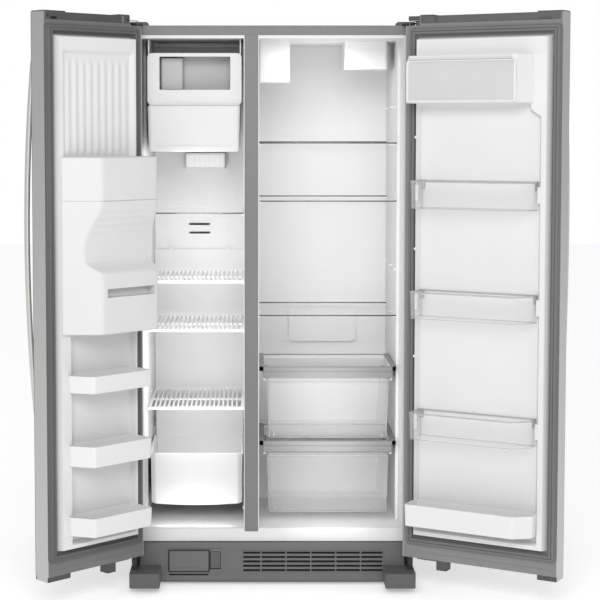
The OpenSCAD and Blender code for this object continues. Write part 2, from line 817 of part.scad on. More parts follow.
// housing of the ice chute and the dispenser, on the inner face
module dispenser_housing() {
    color(white) swing_left() {
        difference() {
            plan_left([[26, 58.3], [26, 134], [32, 140], [230, 140], [238, 137], [312, 62], [312, 58.3]], 784, 1276);
            // seam between the upper and lower halves
            difference() {
                plan_left([[20, 55], [20, 150], [320, 150], [320, 55]], 1153.5, 1156.5);
                plan_left([[28.5, 50], [28.5, 132], [34, 137.5], [229, 137.5], [236, 134.5], [309, 61], [309, 50]], 1150, 1160);
            }
            // wide scoop below the seam
            xcyl(pin_y + 252.7, 1053, pin_xl + 20, pin_xl + 290, 148.7);
            // slot under the ledge
            plan_left([[40, 106], [40, 150], [214, 150], [214, 106]], 886, 911);
            // pocket that takes the outside dispenser
            box(-318, -142, yo, -316, 917, 1273);
        }
    }
}

module dispenser_bezel() {
    color([0.25, 0.25, 0.26]) swing_left() {
        difference() {
            union() {
                rplate(-329, -131, 906, 1284, yo - 3, yo + 1.4, 10);
                box(-317, -143, yo + 1, -320, 918, 1272);
            }
            // the well where a glass stands
            box(-312, -148, yo - 10, -325, 946, 1170);
            // groove of the drip tray
            box(-309, -151, yo - 10, -330, 925, 947);
            xcyl(yo + 32, 1150, -315.05, -144.95, 3.05);
            for (i = [0 : 3]) rplate(-306 + i * 40, -274 + i * 40, 1196, 1212, yo - 10, yo - 1.5, 3);
        }
        // spout
        vcyl(-230, yo + 34, 1156, 1171, 12);
    }
}

module dispenser_paddle() {
    color([0.15, 0.15, 0.16]) swing_left() {
        xcyl(yo + 32, 1150, -315, -145, 3);
        rbox(-262, -198, yo + 60, yo + 64, 1040, 1130, 1.5);
        box(-262, -198, yo + 30, yo + 64, 1126, 1134);
        box(-262, -198, yo + 29.5, yo + 34.5, 1130, 1152);
    }
}

module dispenser_tray() {
    color([0.3, 0.3, 0.3]) swing_left() {
        difference() {
            box(-308.5, -151.5, yo - 2, -332, 925.4, 940);
            box(-305, -155, yo + 2, -336, 929, 950);
        }
        for (i = [0 : 10]) box(-306, -154, yo + 6 + i * 8.6, yo + 9 + i * 8.6, 936, 940);
    }
}

// ---------- fresh food door, drawn closed ----------
module fridge_door_inner() {
    color(white) swing_right() {
        difference() {
            union() {
                slab(dxr0, dxr1);
                plan_right([[30, 26], [30, 52], [36, 58], [425, 58], [434, 50], [434, 26]], 171, 1614);
            }
            // deep face between the raised edges
            plan_right([[38, 60], [44, 36], [402, 36], [412, 60]], 190, 1400);
            plan_right([[38, 60], [44, 36], [372, 36], [384, 60]], 1399, 1424);
            // notch for the upper hinge
            box(dxr1 - 43, dxr1 + 1, yo - 1, yi + 40, cab_h - 5, door_z1 + 1);
            vcyl(pin_xr, pin_y, cab_h - 40, cab_h + 40, pin_r + 0.05);
            vcyl(pin_xr, pin_y, door_z0 - 5, 145, pin_r + 0.05);
        }
        // dairy shelf with its end walls
        difference() {
            plan_right([[30, 57], [30, 112], [360, 112], [392, 57]], 1426, 1560);
            plan_right([[34, 58.5], [34, 130], [346, 130], [387.6, 58.5]], 1430, 1557);
            plan_right([[29, 94], [29, 130], [400, 130], [400, 94]], 1547, 1570);
        }
        // rests that hold the door bins
        for (z = [1128, 815, 468]) {
            for (a = [36, 404]) plan_right([[a - 1, 50], [a - 1, 57.5], [a + 9, 57.5], [a + 9, 50]], z + 20, z + 66);
        }
        // fixed bottom bin
        difference() {
            plan_right([[36, 34], [36, 124], [366, 124], [412, 84], [412, 34]], 216, 280);
            plan_right([[40, 30], [40, 120.5], [364.5, 120.5], [408, 82.5], [408, 30]], 221, 290);
        }
    }
}

module dairy_cover() {
    color([0.9, 0.92, 0.92, 0.7]) swing_right() {
        plan_right([[32, 113], [32, 117], [356, 117], [360, 113]], 1428, 1548);
        box(pin_xr - 356, pin_xr - 34.2, pin_y + 98, pin_y + 114, 1544, 1548);
        for (a = [34.3, 352]) {
            box(pin_xr - a - 3, pin_xr - a, pin_y + 98, pin_y + 116, 1536, 1548);
            // round eye on the hinge line
            xcyl(pin_y + 100, 1546, pin_xr - a - 3, pin_xr - a, 3);
        }
    }
}

module door_bin(z0, z1) {
    swing_right() {
        difference() {
            plan_right([[46, 37], [46, 120], [360, 120], [401, 78], [401, 37]], z0, z1);
            plan_right([[49, 40], [49, 117.2], [358.7, 117.2], [398, 76.9], [398, 40]], z0 + 3, z1 + 5);
        }
    }
}

module door_bin_top() {
    color(clear) door_bin(1128, 1208);
}

module door_bin_middle() {
    color(clear) door_bin(815, 893);
}

module door_bin_bottom() {
    color(clear) door_bin(468, 546);
}

outer_wrapper();
foam_insulation();
cabinet_liner();
mullion_cover();
base_frame();
toe_grille();
hinge_brackets();
hinge_covers();
evaporator_cover();
evaporator();
ice_maker_housing();
ice_maker();
control_housing();
light_lens();
compressor();
condenser();
fan_shroud();
rear_connections();
crisper_frames();
crisper_glass();
drain_pan();
condenser_fan();
ice_maker_arm();
ice_bin();
freezer_glass_shelf();
freezer_shelf_upper();
freezer_shelf_lower();
basket_shelf();
freezer_basket();
glass_shelf_top();
glass_shelf_middle();
glass_shelf_bottom();
crisper_upper();
crisper_lower();
filter_cover();
filter_cartridge();
filter_button();
levelling_leg_left();
levelling_leg_right();
front_rollers();
rear_rollers();
freezer_door_skin();
freezer_door_inner();
freezer_gasket();
freezer_handle();
freezer_door_caps();
dispenser_housing();
dispenser_bezel();
dispenser_paddle();
dispenser_tray();
fridge_door_skin();
fridge_door_inner();
fridge_gasket();
fridge_handle();
fridge_door_caps();
dairy_cover();
door_bin_top();
door_bin_middle();
door_bin_bottom();
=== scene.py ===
import bpy, bmesh, math
from mathutils import Vector, Matrix


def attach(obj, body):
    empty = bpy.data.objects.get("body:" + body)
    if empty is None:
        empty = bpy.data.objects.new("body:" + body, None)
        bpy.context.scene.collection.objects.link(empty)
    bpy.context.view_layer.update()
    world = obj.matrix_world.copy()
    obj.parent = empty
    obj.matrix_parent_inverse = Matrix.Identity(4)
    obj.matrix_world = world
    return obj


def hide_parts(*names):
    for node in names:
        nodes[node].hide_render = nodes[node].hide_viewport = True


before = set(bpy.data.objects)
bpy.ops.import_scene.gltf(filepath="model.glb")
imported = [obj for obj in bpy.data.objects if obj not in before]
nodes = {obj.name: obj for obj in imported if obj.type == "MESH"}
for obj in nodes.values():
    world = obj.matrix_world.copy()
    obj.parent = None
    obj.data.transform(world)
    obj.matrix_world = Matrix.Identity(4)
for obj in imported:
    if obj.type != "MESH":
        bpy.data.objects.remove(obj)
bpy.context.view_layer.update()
MM = 0.001


# ---------------------------------------------------------------- materials
def srgb(v):
    return v / 12.92 if v <= 0.04045 else ((v + 0.055) / 1.055) ** 2.4


def hexcol(h):
    return tuple(srgb(int(h[i:i + 2], 16) / 255) for i in (0, 2, 4)) + (1.0,)


def new_mat(name):
    m = bpy.data.materials.new(name)
    m.use_nodes = True
    nt = m.node_tree
    return m, nt, nt.nodes["Principled BSDF"]


def coords(nt, scale=(1, 1, 1)):
    tc = nt.nodes.new("ShaderNodeTexCoord")
    mp = nt.nodes.new("ShaderNodeMapping")
    mp.inputs["Scale"].default_value = scale
    nt.links.new(tc.outputs["Object"], mp.inputs["Vector"])
    return mp.outputs["Vector"]


def noise(nt, vec, scale, detail=2.0, rough=0.5):
    n = nt.nodes.new("ShaderNodeTexNoise")
    n.inputs["Scale"].default_value = scale
    n.inputs["Detail"].default_value = detail
    n.inputs["Roughness"].default_value = rough
    nt.links.new(vec, n.inputs["Vector"])
    return n.outputs["Fac"]


def ramp(nt, fac, stops):
    r = nt.nodes.new("ShaderNodeValToRGB")
    el = r.color_ramp.elements
    while len(el) < len(stops):
        el.new(0.5)
    for e, (p, c) in zip(el, stops):
        e.position = p
        e.color = c
    nt.links.new(fac, r.inputs["Fac"])
    return r.outputs["Color"]


def bump(nt, p, height, strength, dist):
    b = nt.nodes.new("ShaderNodeBump")
    b.inputs["Strength"].default_value = strength
    b.inputs["Distance"].default_value = dist
    nt.links.new(height, b.inputs["Height"])
    nt.links.new(b.outputs["Normal"], p.inputs["Normal"])


def vary_inputs(nt, p, colour_fac, col, low, high, rough_fac, rough, r_low, r_high, stops=(0.3, 0.7)):
    """Drives base colour and roughness from two noises, between a low and a high share of each."""
    a, b = stops
    nt.links.new(ramp(nt, colour_fac, [(a, shade(col, low)), (b, shade(col, high))]),
                 p.inputs["Base Color"])
    nt.links.new(ramp(nt, rough_fac, [(a, grey(rough * r_low)), (b, grey(rough * r_high))]),
                 p.inputs["Roughness"])


def shade(c, k):
    return (min(c[0] * k, 1), min(c[1] * k, 1), min(c[2] * k, 1), 1)


def grey(v):
    return (v, v, v, 1)


def plastic(name, col, rough=0.4, grain=350, grain_h=0.00006, vary=0.02, spec=0.5):
    """Moulded plastic: slow colour drift, fine grain in bump, roughness that wanders a little."""
    m, nt, p = new_mat(name)
    v = coords(nt)
    vary_inputs(nt, p, noise(nt, v, 3.0, 3), col, 1 - vary, 1 + vary,
                noise(nt, v, 14.0, 3), rough, 0.88, 1.12)
    bump(nt, p, noise(nt, v, grain, 2), 0.35, grain_h)
    p.inputs["Specular IOR Level"].default_value = spec
    return m


def brushed(name, col, rough):
    """Brushed steel: long fine scratches along z."""
    m, nt, p = new_mat(name)
    v = coords(nt, (1, 1, 0.006))
    fine = noise(nt, v, 900, 3, 0.6)
    vary_inputs(nt, p, fine, col, 0.95, 1.04, fine, rough, 0.85, 1.2, (0.25, 0.75))
    bump(nt, p, fine, 0.25, 0.00004)
    p.inputs["Metallic"].default_value = 1.0
    return m


def paint(name, col, rough=0.45):
    """Baked enamel with a little orange peel."""
    m, nt, p = new_mat(name)
    v = coords(nt)
    vary_inputs(nt, p, noise(nt, v, 2.5, 3), col, 0.97, 1.03, noise(nt, v, 30, 3), rough, 0.9, 1.1)
    bump(nt, p, noise(nt, v, 240, 2), 0.3, 0.00012)
    return m


def clear(name, col, alpha, rough=0.08, spec=0.5):
    """Clear sheet: see-through, with a soft uneven sheen."""
    m, nt, p = new_mat(name)
    v = coords(nt)
    vary_inputs(nt, p, noise(nt, v, 5, 2), col, 0.97, 1.03, noise(nt, v, 9, 2), rough, 0.7, 1.3)
    p.inputs["Alpha"].default_value = alpha
    p.inputs["Specular IOR Level"].default_value = spec
    bump(nt, p, noise(nt, v, 18, 2), 0.1, 0.00008)
    return m


WHITE = plastic("white_liner", grey(0.68), rough=0.5, spec=0.35)
WHITE2 = plastic("white_bin", grey(0.70), rough=0.42, spec=0.35)
HOUSING = plastic("dispenser_white", grey(0.64), rough=0.45, spec=0.35)
GREY = paint("grey_enamel", hexcol("727272"))
SHELL = paint("shell_enamel", hexcol("727272"), rough=0.5)
# lit and shaded copies of one margin grey: the right door's copy is painted lighter than the left's
MARGIN = paint("door_margin_grey", hexcol("6E6E6E"), rough=0.5)
MARGIN_LIT_RIGHT = paint("door_margin_grey_lit_right", hexcol("7C7C7C"), rough=0.5)
COARSE = dict(rough=0.55, grain=500, grain_h=0.00012)
BASEGREY = plastic("base_grey", hexcol("626262"), vary=0.04, **COARSE)
DARK = plastic("dark_plastic", hexcol("474747"), vary=0.05, **COARSE)
COVER = plastic("hinge_cover_grey", hexcol("555555"), vary=0.05, **COARSE)
BLACK = plastic("black_plastic", hexcol("1C1C1D"), rough=0.4, vary=0.1)
# near-black that is painted shade: it fills slots, gaps, notches and openings where only shade falls
PAINTED_SHADE_BLACK = plastic("shadow_black", hexcol("0C0C0C"), rough=0.7, vary=0.1)
# lit and shaded copies of one gasket rubber: the right door's copy is painted lighter than the left's
RUBBER = plastic("gasket_rubber", hexcol("5E5E5E"), rough=0.7, grain=700, vary=0.04, spec=0.3)
RUBBER_LIT_RIGHT = plastic("gasket_rubber_lit_right", hexcol("6C6C6C"), rough=0.7, grain=700, vary=0.04, spec=0.3)
STEEL = brushed("door_steel", hexcol("C0C0BF"), rough=0.42)
BAR = brushed("handle_steel", hexcol("D4D4D0"), rough=0.3)
ZINC = brushed("zinc", hexcol("DADADA"), rough=0.3)
HINGE = paint("hinge_black", hexcol("2A2A2A"))
CHASSIS = paint("chassis", hexcol("3A3A3A"))
TRIM = plastic("crisper_trim", hexcol("808080"), rough=0.4)
TRIMDARK = plastic("trim_knob", hexcol("3C3C3C"), rough=0.4)
MIDGREY = plastic("ice_grey", hexcol("B4B4B4"), rough=0.5)
LAMPWHITE = plastic("lamp_cover_white", grey(0.88), rough=0.35)
FOAM = plastic("foam", (0.75, 0.68, 0.45, 1), rough=0.9)
GLASS = clear("shelf_glass", (0.80, 0.86, 0.85, 1), 0.05)
EDGE = clear("glass_edge", hexcol("4E5654"), 0.75)
BIN = clear("clear_bin", hexcol("F2F2F2"), 0.10, rough=0.2, spec=0.3)
RIM = clear("bin_rim", hexcol("B2B4B4"), 0.5, rough=0.2, spec=0.3)
CRISP = clear("clear_drawer", hexcol("F6F6F6"), 0.13, rough=0.2, spec=0.3)
# translucent plastic whose grey is darkened as painted shade across the dairy flap
FROST_PAINTED_SHADE = clear("frosted", hexcol("C6C6C6"), 0.94, rough=0.4, spec=0.4)
LENS = clear("lens_white", hexcol("E6E6E6"), 0.9, rough=0.35, spec=0.4)
ALU = brushed("fins", hexcol("C0C2C4"), rough=0.4)

# ---------------------------------------------------------------- frames
S2, C30 = math.sqrt(0.5), math.cos(math.radians(30))
CAB = Matrix.Identity(4)
# door frames: x = a along the door from its pin, y = b towards the cabinet when closed
LEFT = Matrix(((-S2, S2, 0, -406), (-S2, -S2, 0, -403), (0, 0, 1, 0), (0, 0, 0, 1)))
RIGHT = Matrix(((C30, -0.5, 0, 406), (-0.5, -C30, 0, -403), (0, 0, 1, 0), (0, 0, 0, 1)))


# ---------------------------------------------------------------- mesh tools
def rrect(x0, x1, y0, y1, r, n=5):
    """Rounded rectangle, counter-clockwise."""
    pts = []
    corners = ((x1 - r, y0 + r, -90), (x1 - r, y1 - r, 0), (x0 + r, y1 - r, 90), (x0 + r, y0 + r, 180))
    for cx, cy, s in corners:
        for i in range(n + 1):
            t = math.radians(s + 90 * i / n)
            pts.append((cx + r * math.cos(t), cy + r * math.sin(t)))
    return pts


def area2(poly):
    return sum(x0 * y1 - x1 * y0 for (x0, y0), (x1, y1) in zip(poly, poly[1:] + poly[:1]))


def fillet(poly, r, n=4):
    """Rounds every corner of a polygon; r is one radius or one per corner."""
    out, k = [], len(poly)
    for i in range(k):
        p, q, s = Vector(poly[i - 1]), Vector(poly[i]), Vector(poly[(i + 1) % k])
        rad = r[i] if isinstance(r, (list, tuple)) else r
        u, v = (p - q).normalized(), (s - q).normalized()
        ang = u.angle(v)
        if rad <= 0 or ang > 3.1:
            out.append(tuple(q))
            continue
        d = min(rad / math.tan(ang / 2), (p - q).length * 0.48, (s - q).length * 0.48)
        a, b = q + u * d, q + v * d
        for j in range(n + 1):
            t = j / n
            out.append(tuple(a * (1 - t) ** 2 + q * 2 * t * (1 - t) + b * t * t))
    return out


def inset(poly, d):
    """Moves every edge of a polygon inwards by d (outwards if d is negative)."""
    s = 1 if area2(poly) > 0 else -1
    out, k = [], len(poly)
    for i in range(k):
        p, q, t = Vector(poly[i - 1]), Vector(poly[i]), Vector(poly[(i + 1) % k])
        e0, e1 = (q - p).normalized(), (t - q).normalized()
        n0, n1 = Vector((-e0.y, e0.x)) * s, Vector((-e1.y, e1.x)) * s
        m = (n0 + n1).normalized()
        out.append(tuple(q + m * (d / max(m.dot(n0), 0.5))))
    return out


class Shape:
    """A mesh in millimetres, in one of the frames above."""

    def __init__(self):
        self.bm = bmesh.new()

    def loop(self, pts):
        return [self.bm.verts.new(p) for p in pts]

    def face(self, vs, mat=0):
        try:
            f = self.bm.faces.new(vs)
            f.material_index = mat
        except ValueError:
            pass

    def bridge(self, a, b, mat=0):
        n = len(a)
        for i in range(n):
            j = (i + 1) % n
            self.face((a[i], a[j], b[j], b[i]), mat)

    def loft(self, loops, mat=0):
        """Skins a row of loops and caps both ends; mat is one index or one per band."""
        ls = [self.loop(p) for p in loops]
        for i in range(len(ls) - 1):
            self.bridge(ls[i], ls[i + 1], mat[i] if isinstance(mat, (list, tuple)) else mat)
        m0, m1 = (mat[0], mat[-1]) if isinstance(mat, (list, tuple)) else (mat, mat)
        self.face(ls[0][::-1], m0)
        self.face(ls[-1], m1)

    def hoop(self, loops, mat=0):
        """Skins a row of loops and joins the last one to the first."""
        ls = [self.loop(p) for p in loops]
        for i in range(len(ls)):
            self.bridge(ls[i], ls[(i + 1) % len(ls)], mat)

    def prism(self, poly, lo, hi, axis="z", ch=0.0, mat=0):
        """A polygon pushed along an axis, its rims chamfered by ch."""
        put = {"z": lambda p, w: (p[0], p[1], w), "y": lambda p, w: (p[0], w, p[1]),
               "x": lambda p, w: (w, p[0], p[1])}[axis]
        if ch:
            rows = [(inset(poly, ch), lo), (inset(poly, ch * 0.3), lo + ch * 0.3), (poly, lo + ch),
                    (poly, hi - ch), (inset(poly, ch * 0.3), hi - ch * 0.3), (inset(poly, ch), hi)]
        else:
            rows = [(poly, lo), (poly, hi)]
        self.loft([[put(p, w) for p in q] for q, w in rows], mat)
        return self

    def block(self, x0, x1, y0, y1, z0, z1, r=1.5, mat=0, axis="z"):
        """A box with round edges."""
        r = min(r, (x1 - x0) / 2.1, (y1 - y0) / 2.1, (z1 - z0) / 2.1)
        if axis == "z":
            return self.prism(rrect(x0, x1, y0, y1, r, 3), z0, z1, "z", r, mat)
        if axis == "y":
            return self.prism(rrect(x0, x1, z0, z1, r, 3), y0, y1, "y", r, mat)
        return self.prism(rrect(y0, y1, z0, z1, r, 3), x0, x1, "x", r, mat)

    def disc(self, c, r, h, n, mat=0):
        """A short cylinder that starts at c and runs h along y, with soft rims."""
        ch = 0.5
        prof = [(r - ch, 0), (r, math.copysign(ch, h)), (r, h - math.copysign(ch, h)), (r - ch, h)]
        loops = []
        for rr, w in prof:
            ring = []
            for i in range(n):
                t = 2 * math.pi * i / n
                u, v = rr * math.cos(t), rr * math.sin(t)
                ring.append((c[0] + u, c[1] + w, c[2] + v))
            loops.append(ring)
        self.loft(loops, mat)
        return self

    def tray(self, poly, z0, z1, t=3.5, floor=4, foot=2.5, taper=0.0, mat=0,
             rim_mat=None, rim_h=6, base=None):
        """An open box with an outline: soft foot, walls that lean out by taper, a round rim."""
        rm = mat if rim_mat is None else rim_mat
        b = base or (lambda p: 0)
        rows = [
            (inset(poly, taper + foot), z0), (inset(poly, taper + foot * 0.3), z0 + foot * 0.3),
            (inset(poly, taper), z0 + foot),
            (inset(poly, 0.01), z1 - rim_h), (poly, z1 - rim_h + 1), (poly, z1 - t * 0.35),
            (inset(poly, t * 0.3), z1), (inset(poly, t * 0.8), z1), (inset(poly, t), z1 - t * 0.35),
            (inset(poly, t), z1 - rim_h),
            (inset(poly, taper + t), z0 + floor + foot), (inset(poly, taper + t + foot), z0 + floor)]
        low_rows = (0, 1, 2, 10, 11)
        loops = [[(p[0], p[1], z + (b(p) if i in low_rows else 0)) for p in q]
                 for i, (q, z) in enumerate(rows)]
        self.loft(loops, [mat] * 3 + [rm] * 6 + [mat] * 2)
        return self

    def ring(self, prof, x0, x1, z0, z1, r=6, mat=0):
        """A closed frame in the x-z plane: prof is a list of (inset, y)."""
        loops = []
        for d, y in prof:
            rr = max(r - d, 0.8)
            loops.append([(p[0], y, p[1]) for p in rrect(x0 + d, x1 - d, z0 + d, z1 - d, rr)])
        self.hoop(loops, mat)
        return self

    def field(self, us, zs, f, base, mat=0):
        """A relief y = f(x, z) over a grid, closed down to y = base."""
        grid = [[self.bm.verts.new((u, f(u, z), z)) for u in us] for z in zs]
        for j in range(len(zs) - 1):
            for i in range(len(us) - 1):
                self.face((grid[j][i], grid[j][i + 1], grid[j + 1][i + 1], grid[j + 1][i]), mat)
        rim = (grid[0] + [row[-1] for row in grid[1:]] + grid[-1][-2::-1]
               + [row[0] for row in grid[-2:0:-1]])
        low = [self.bm.verts.new((v.co.x, base, v.co.z)) for v in rim]
        self.bridge(rim, low, mat)
        self.face(low, mat)
        return self

    def tube(self, path, rad, n=12, mat=0, up=(0, 0, 1)):
        """A bar along a path; rad is a radius, or a function of 0..1 giving (r across, r up)."""
        loops, k = [], len(path)
        for i, p in enumerate(path):
            p = Vector(p)
            a, b = Vector(path[max(i - 1, 0)]), Vector(path[min(i + 1, k - 1)])
            t = (b - a).normalized()
            s = t.cross(Vector(up)).normalized()
            w = s.cross(t)
            r = rad(i / (k - 1)) if callable(rad) else (rad, rad)
            turns = [2 * math.pi * j / n for j in range(n)]
            loops.append([tuple(p + s * (r[0] * math.cos(q)) + w * (r[1] * math.sin(q))) for q in turns])
        self.loft(loops, mat)
        return self


def piece(name, shape, mats, body, frame_m=CAB, stands_for=(), angle=35):
    """Turns a shape into a named object on a body, standing for CAD nodes if any are named."""
    bm = shape.bm
    bmesh.ops.transform(bm, matrix=Matrix.Scale(MM, 4) @ frame_m, verts=bm.verts)
    bmesh.ops.recalc_face_normals(bm, faces=bm.faces)
    me = bpy.data.meshes.new(name)
    bm.to_mesh(me)
    bm.free()
    o = bpy.data.objects.new(name, me)
    bpy.context.scene.collection.objects.link(o)
    for m in mats if isinstance(mats, (list, tuple)) else [mats]:
        me.materials.append(m)
    me.shade_smooth()
    me.set_sharp_from_angle(angle=math.radians(angle))
    # large flat faces keep flat shading beside their rounded edges
    w = o.modifiers.new("shading", "WEIGHTED_NORMAL")
    w.keep_sharp = True
    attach(o, body)
    if stands_for:
        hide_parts(*([stands_for] if isinstance(stands_for, str) else stands_for))
    return o


def soften(o, width):
    b = o.modifiers.new("edge", "BEVEL")
    b.width = width * MM
    b.segments = 3
    b.limit_method = "ANGLE"
    b.angle_limit = math.radians(38)
    b.harden_normals = False


def lines(lo, hi, step, extra=()):
    """Grid positions: even steps with the extra ones put in exactly."""
    n = max(1, round((hi - lo) / step))
    keep = sorted(set([lo, hi] + [e for e in extra if lo < e < hi]))
    for v in [lo + (hi - lo) * i / n for i in range(1, n)]:
        if all(abs(v - k) > step * 0.4 for k in keep):
            keep.append(v)
    return sorted(keep)


def pairs(vals, *ds):
    """Every value with each offset in turn."""
    return [v + d for v in vals for d in ds]


def around(*vals, w=4):
    """Grid positions close to each value, so that a step there is crisp."""
    return [v + d * w for v in vals for d in (-1, -0.5, 0, 0.5, 1)]


def clamp(v):
    return min(max(v, 0), 1)


def up(x, x0, w):
    """Smooth step from 0 to 1, centred on x0, w wide."""
    t = clamp((x - x0) / w + 0.5)
    return t * t * (3 - 2 * t)


def bumpf(x, lo, hi, w):
    """1 between lo and hi, 0 outside, with smooth steps w wide."""
    return up(x, lo, w) * (1 - up(x, hi, w))


def smin(a, b, k):
    """The smaller of two values, rounded where they are within k of each other."""
    h = max(k - abs(a - b), 0) / k
    return min(a, b) - h * h * k / 4


# ---------------------------------------------------------------- finish of the CAD nodes
MATS = {
    "outer_wrapper": GREY, "foam_insulation": FOAM, "cabinet_liner": WHITE, "mullion_cover": GREY,
    "base_frame": CHASSIS, "toe_grille": BASEGREY, "hinge_brackets": HINGE, "hinge_covers": COVER,
    "evaporator_cover": WHITE, "evaporator": ALU, "ice_maker_housing": WHITE2, "ice_maker": MIDGREY,
    "control_housing": WHITE2, "light_lens": LENS, "compressor": BLACK, "condenser": BLACK,
    "fan_shroud": BLACK, "rear_connections": BLACK, "crisper_frames": TRIM, "crisper_glass": GLASS,
    "drain_pan": BLACK, "condenser_fan": BLACK, "ice_maker_arm": WHITE2, "ice_bin": WHITE2,
    "freezer_glass_shelf": GLASS, "freezer_shelf_upper": WHITE2, "freezer_shelf_lower": WHITE2,
    "basket_shelf": WHITE2, "freezer_basket": WHITE2, "glass_shelf_top": GLASS,
    "glass_shelf_middle": GLASS, "glass_shelf_bottom": GLASS, "crisper_upper": CRISP,
    "crisper_lower": CRISP, "filter_cover": BASEGREY, "filter_cartridge": WHITE2,
    "filter_button": COVER, "levelling_leg_left": CHASSIS, "levelling_leg_right": CHASSIS,
    "front_rollers": BLACK, "rear_rollers": BLACK, "freezer_door_skin": STEEL,
    "freezer_door_inner": WHITE, "freezer_gasket": RUBBER, "freezer_handle": BAR,
    "freezer_door_caps": DARK, "dispenser_housing": HOUSING, "dispenser_bezel": BLACK,
    "dispenser_paddle": BLACK, "dispenser_tray": BLACK, "fridge_door_skin": STEEL,
    "fridge_door_inner": WHITE, "fridge_gasket": RUBBER_LIT_RIGHT, "fridge_handle": BAR,
    "fridge_door_caps": DARK, "dairy_cover": FROST_PAINTED_SHADE, "door_bin_top": BIN, "door_bin_middle": BIN,
    "door_bin_bottom": BIN,
}
SOFT = {
    "outer_wrapper": 0.5, "cabinet_liner": 0.9, "toe_grille": 0.8, "hinge_brackets": 0.7,
    "hinge_covers": 2.0, "evaporator_cover": 1.0, "ice_maker": 1.5, "control_housing": 4.0,
    "light_lens": 5.0, "compressor": 3.0, "fan_shroud": 0.8, "rear_connections": 1.0,
    "crisper_frames": 0.8, "drain_pan": 0.8, "condenser_fan": 0.6, "ice_maker_arm": 0.8,
    "freezer_shelf_upper": 0.7, "freezer_shelf_lower": 0.7, "basket_shelf": 0.7,
    "filter_cover": 1.0, "filter_cartridge": 1.5, "filter_button": 1.0, "levelling_leg_left": 0.6,
    "levelling_leg_right": 0.6, "front_rollers": 1.0, "rear_rollers": 1.0,
    "freezer_door_skin": 0.5, "fridge_door_skin": 0.5, "freezer_door_caps": 1.2,
    "fridge_door_caps": 1.2, "dispenser_bezel": 1.2, "dispenser_paddle": 0.8,
    "dispenser_tray": 0.6, "mullion_cover": 0.3, "base_frame": 0.5,
}
for n, o in nodes.items():
    o.data.materials.clear()
    o.data.materials.append(MATS[n])
    if n in SOFT:
        soften(o, SOFT[n])

# ---------------------------------------------------------------- cabinet shell
# side and top sheets, front flanges, and a rear sheet with pressed beads and a screwed service cover
HW, YF, YB, TOP = 416, -360, 360, 1654
VENT_X, VENT_Z = [-300 + i * 40 for i in range(10)], (60, 84, 108, 132)
VENTS = [(x, z) for z in VENT_Z for x in VENT_X]
SCREWS = [(x, z) for x in (-404, 404) for z in (40, 150, 186, 640, 1120, 1600)]
SCREWS += [(x, z) for x in (-270, -90, 90, 270) for z in (36, 1638)]
SCREWS += [(x, 161) for x in (-300, -100, 100, 300)]
BEADS = (-236, 0, 236)
SEAM = 172


def rear(x, z):
    """Rear sheet: pressed panel, beads, seam, power inlet, water stub, vents and screw dimples."""
    y = YB - 1.4 * bumpf(x, -394, 394, 4) * bumpf(z, 182, 1628, 4)
    for c in BEADS:
        y -= 2.2 * bumpf(x, c - 9, c + 9, 6) * bumpf(z, 330, 1540, 10)
    y -= 3.0 * max(1 - abs(z - SEAM) / 1.6, 0) ** 0.5
    y -= 9 * bumpf(x, 338, 386, 1) * bumpf(z, 208, 242, 1)
    y -= 9 * (1 - up(math.hypot(x + 375, z - 290), 12, 1.2))
    for vx, vz in VENTS:
        if vx - 2 < x < vx + 26 and vz - 2 < z < vz + 10:
            y -= 4.6 * bumpf(x, vx, vx + 24, 1.2) * bumpf(z, vz, vz + 8, 1.2)
    for sx, sz in SCREWS:
        if abs(x - sx) < 7 and abs(z - sz) < 7:
            y -= 1.6 * (1 - up(math.hypot(x - sx, z - sz), 5.4, 1.6))
    return y


s = Shape()
for x0, x1, f0, f1 in ((-HW, -HW + 1.2, -HW, -388.5), (HW - 1.2, HW, 388.5, HW)):
    s.block(x0, x1, YF, YB - 0.2, 22, TOP, 0.5, axis="y")
    s.block(f0, f1, YF, YF + 1.2, 130, TOP, 0.5, axis="y")
s.block(-HW, HW, YF, YB - 0.2, TOP - 1.2, TOP, 0.5, axis="y")
s.block(-HW, HW, YF, YF + 1.2, TOP - 28, TOP, 0.5, axis="x")
DIMPLE = (-6.2, -4.6, 0, 4.6, 6.2)
xs = lines(-HW, HW, 22, around(-394, 394, w=2) + around(-245, -227, -9, 9, 227, 245, w=3)
           + around(338, 386, w=0.5) + pairs([x + e for x in VENT_X for e in (0, 24)], -0.6, 0.6)
           + pairs({x for x, z in SCREWS}, *DIMPLE) + lines(-389, -361, 2))
zs = lines(22, TOP, 30, around(182, 1628, w=2) + around(330, 1540, w=5)
           + [170.4, 171.2, SEAM, 172.8, 173.6] + around(208, 242, w=0.5)
           + pairs([z + e for z in VENT_Z for e in (0, 8)], -0.6, 0.6)
           + pairs({z for x, z in SCREWS}, *DIMPLE) + lines(276, 304, 2))
s.field(xs, zs, rear, YB - 13)
# the black slots in the screw heads and the black backs of the vents are painted shade
for sx, sz in SCREWS:
    s.disc((sx, YB - 1.7, sz), 4.2, 1.4, 18, mat=1)
    s.block(sx - 2.8, sx + 2.8, YB - 0.5, YB - 0.2, sz - 0.5, sz + 0.5, 0.12, axis="y", mat=2)
for vx, vz in VENTS:
    s.block(vx + 0.4, vx + 23.6, YB - 4.9, YB - 4.2, vz + 0.4, vz + 7.6, 0.3, axis="y", mat=2)
piece("cabinet_shell", s, [SHELL, ZINC, PAINTED_SHADE_BLACK], "cabinet", CAB, ("outer_wrapper", "foam_insulation"))

# ---------------------------------------------------------------- parts that both doors have
SLAB, DOOR_Z0, DOOR_Z1 = (-31.3, 28.5), 101.2, 1675.8
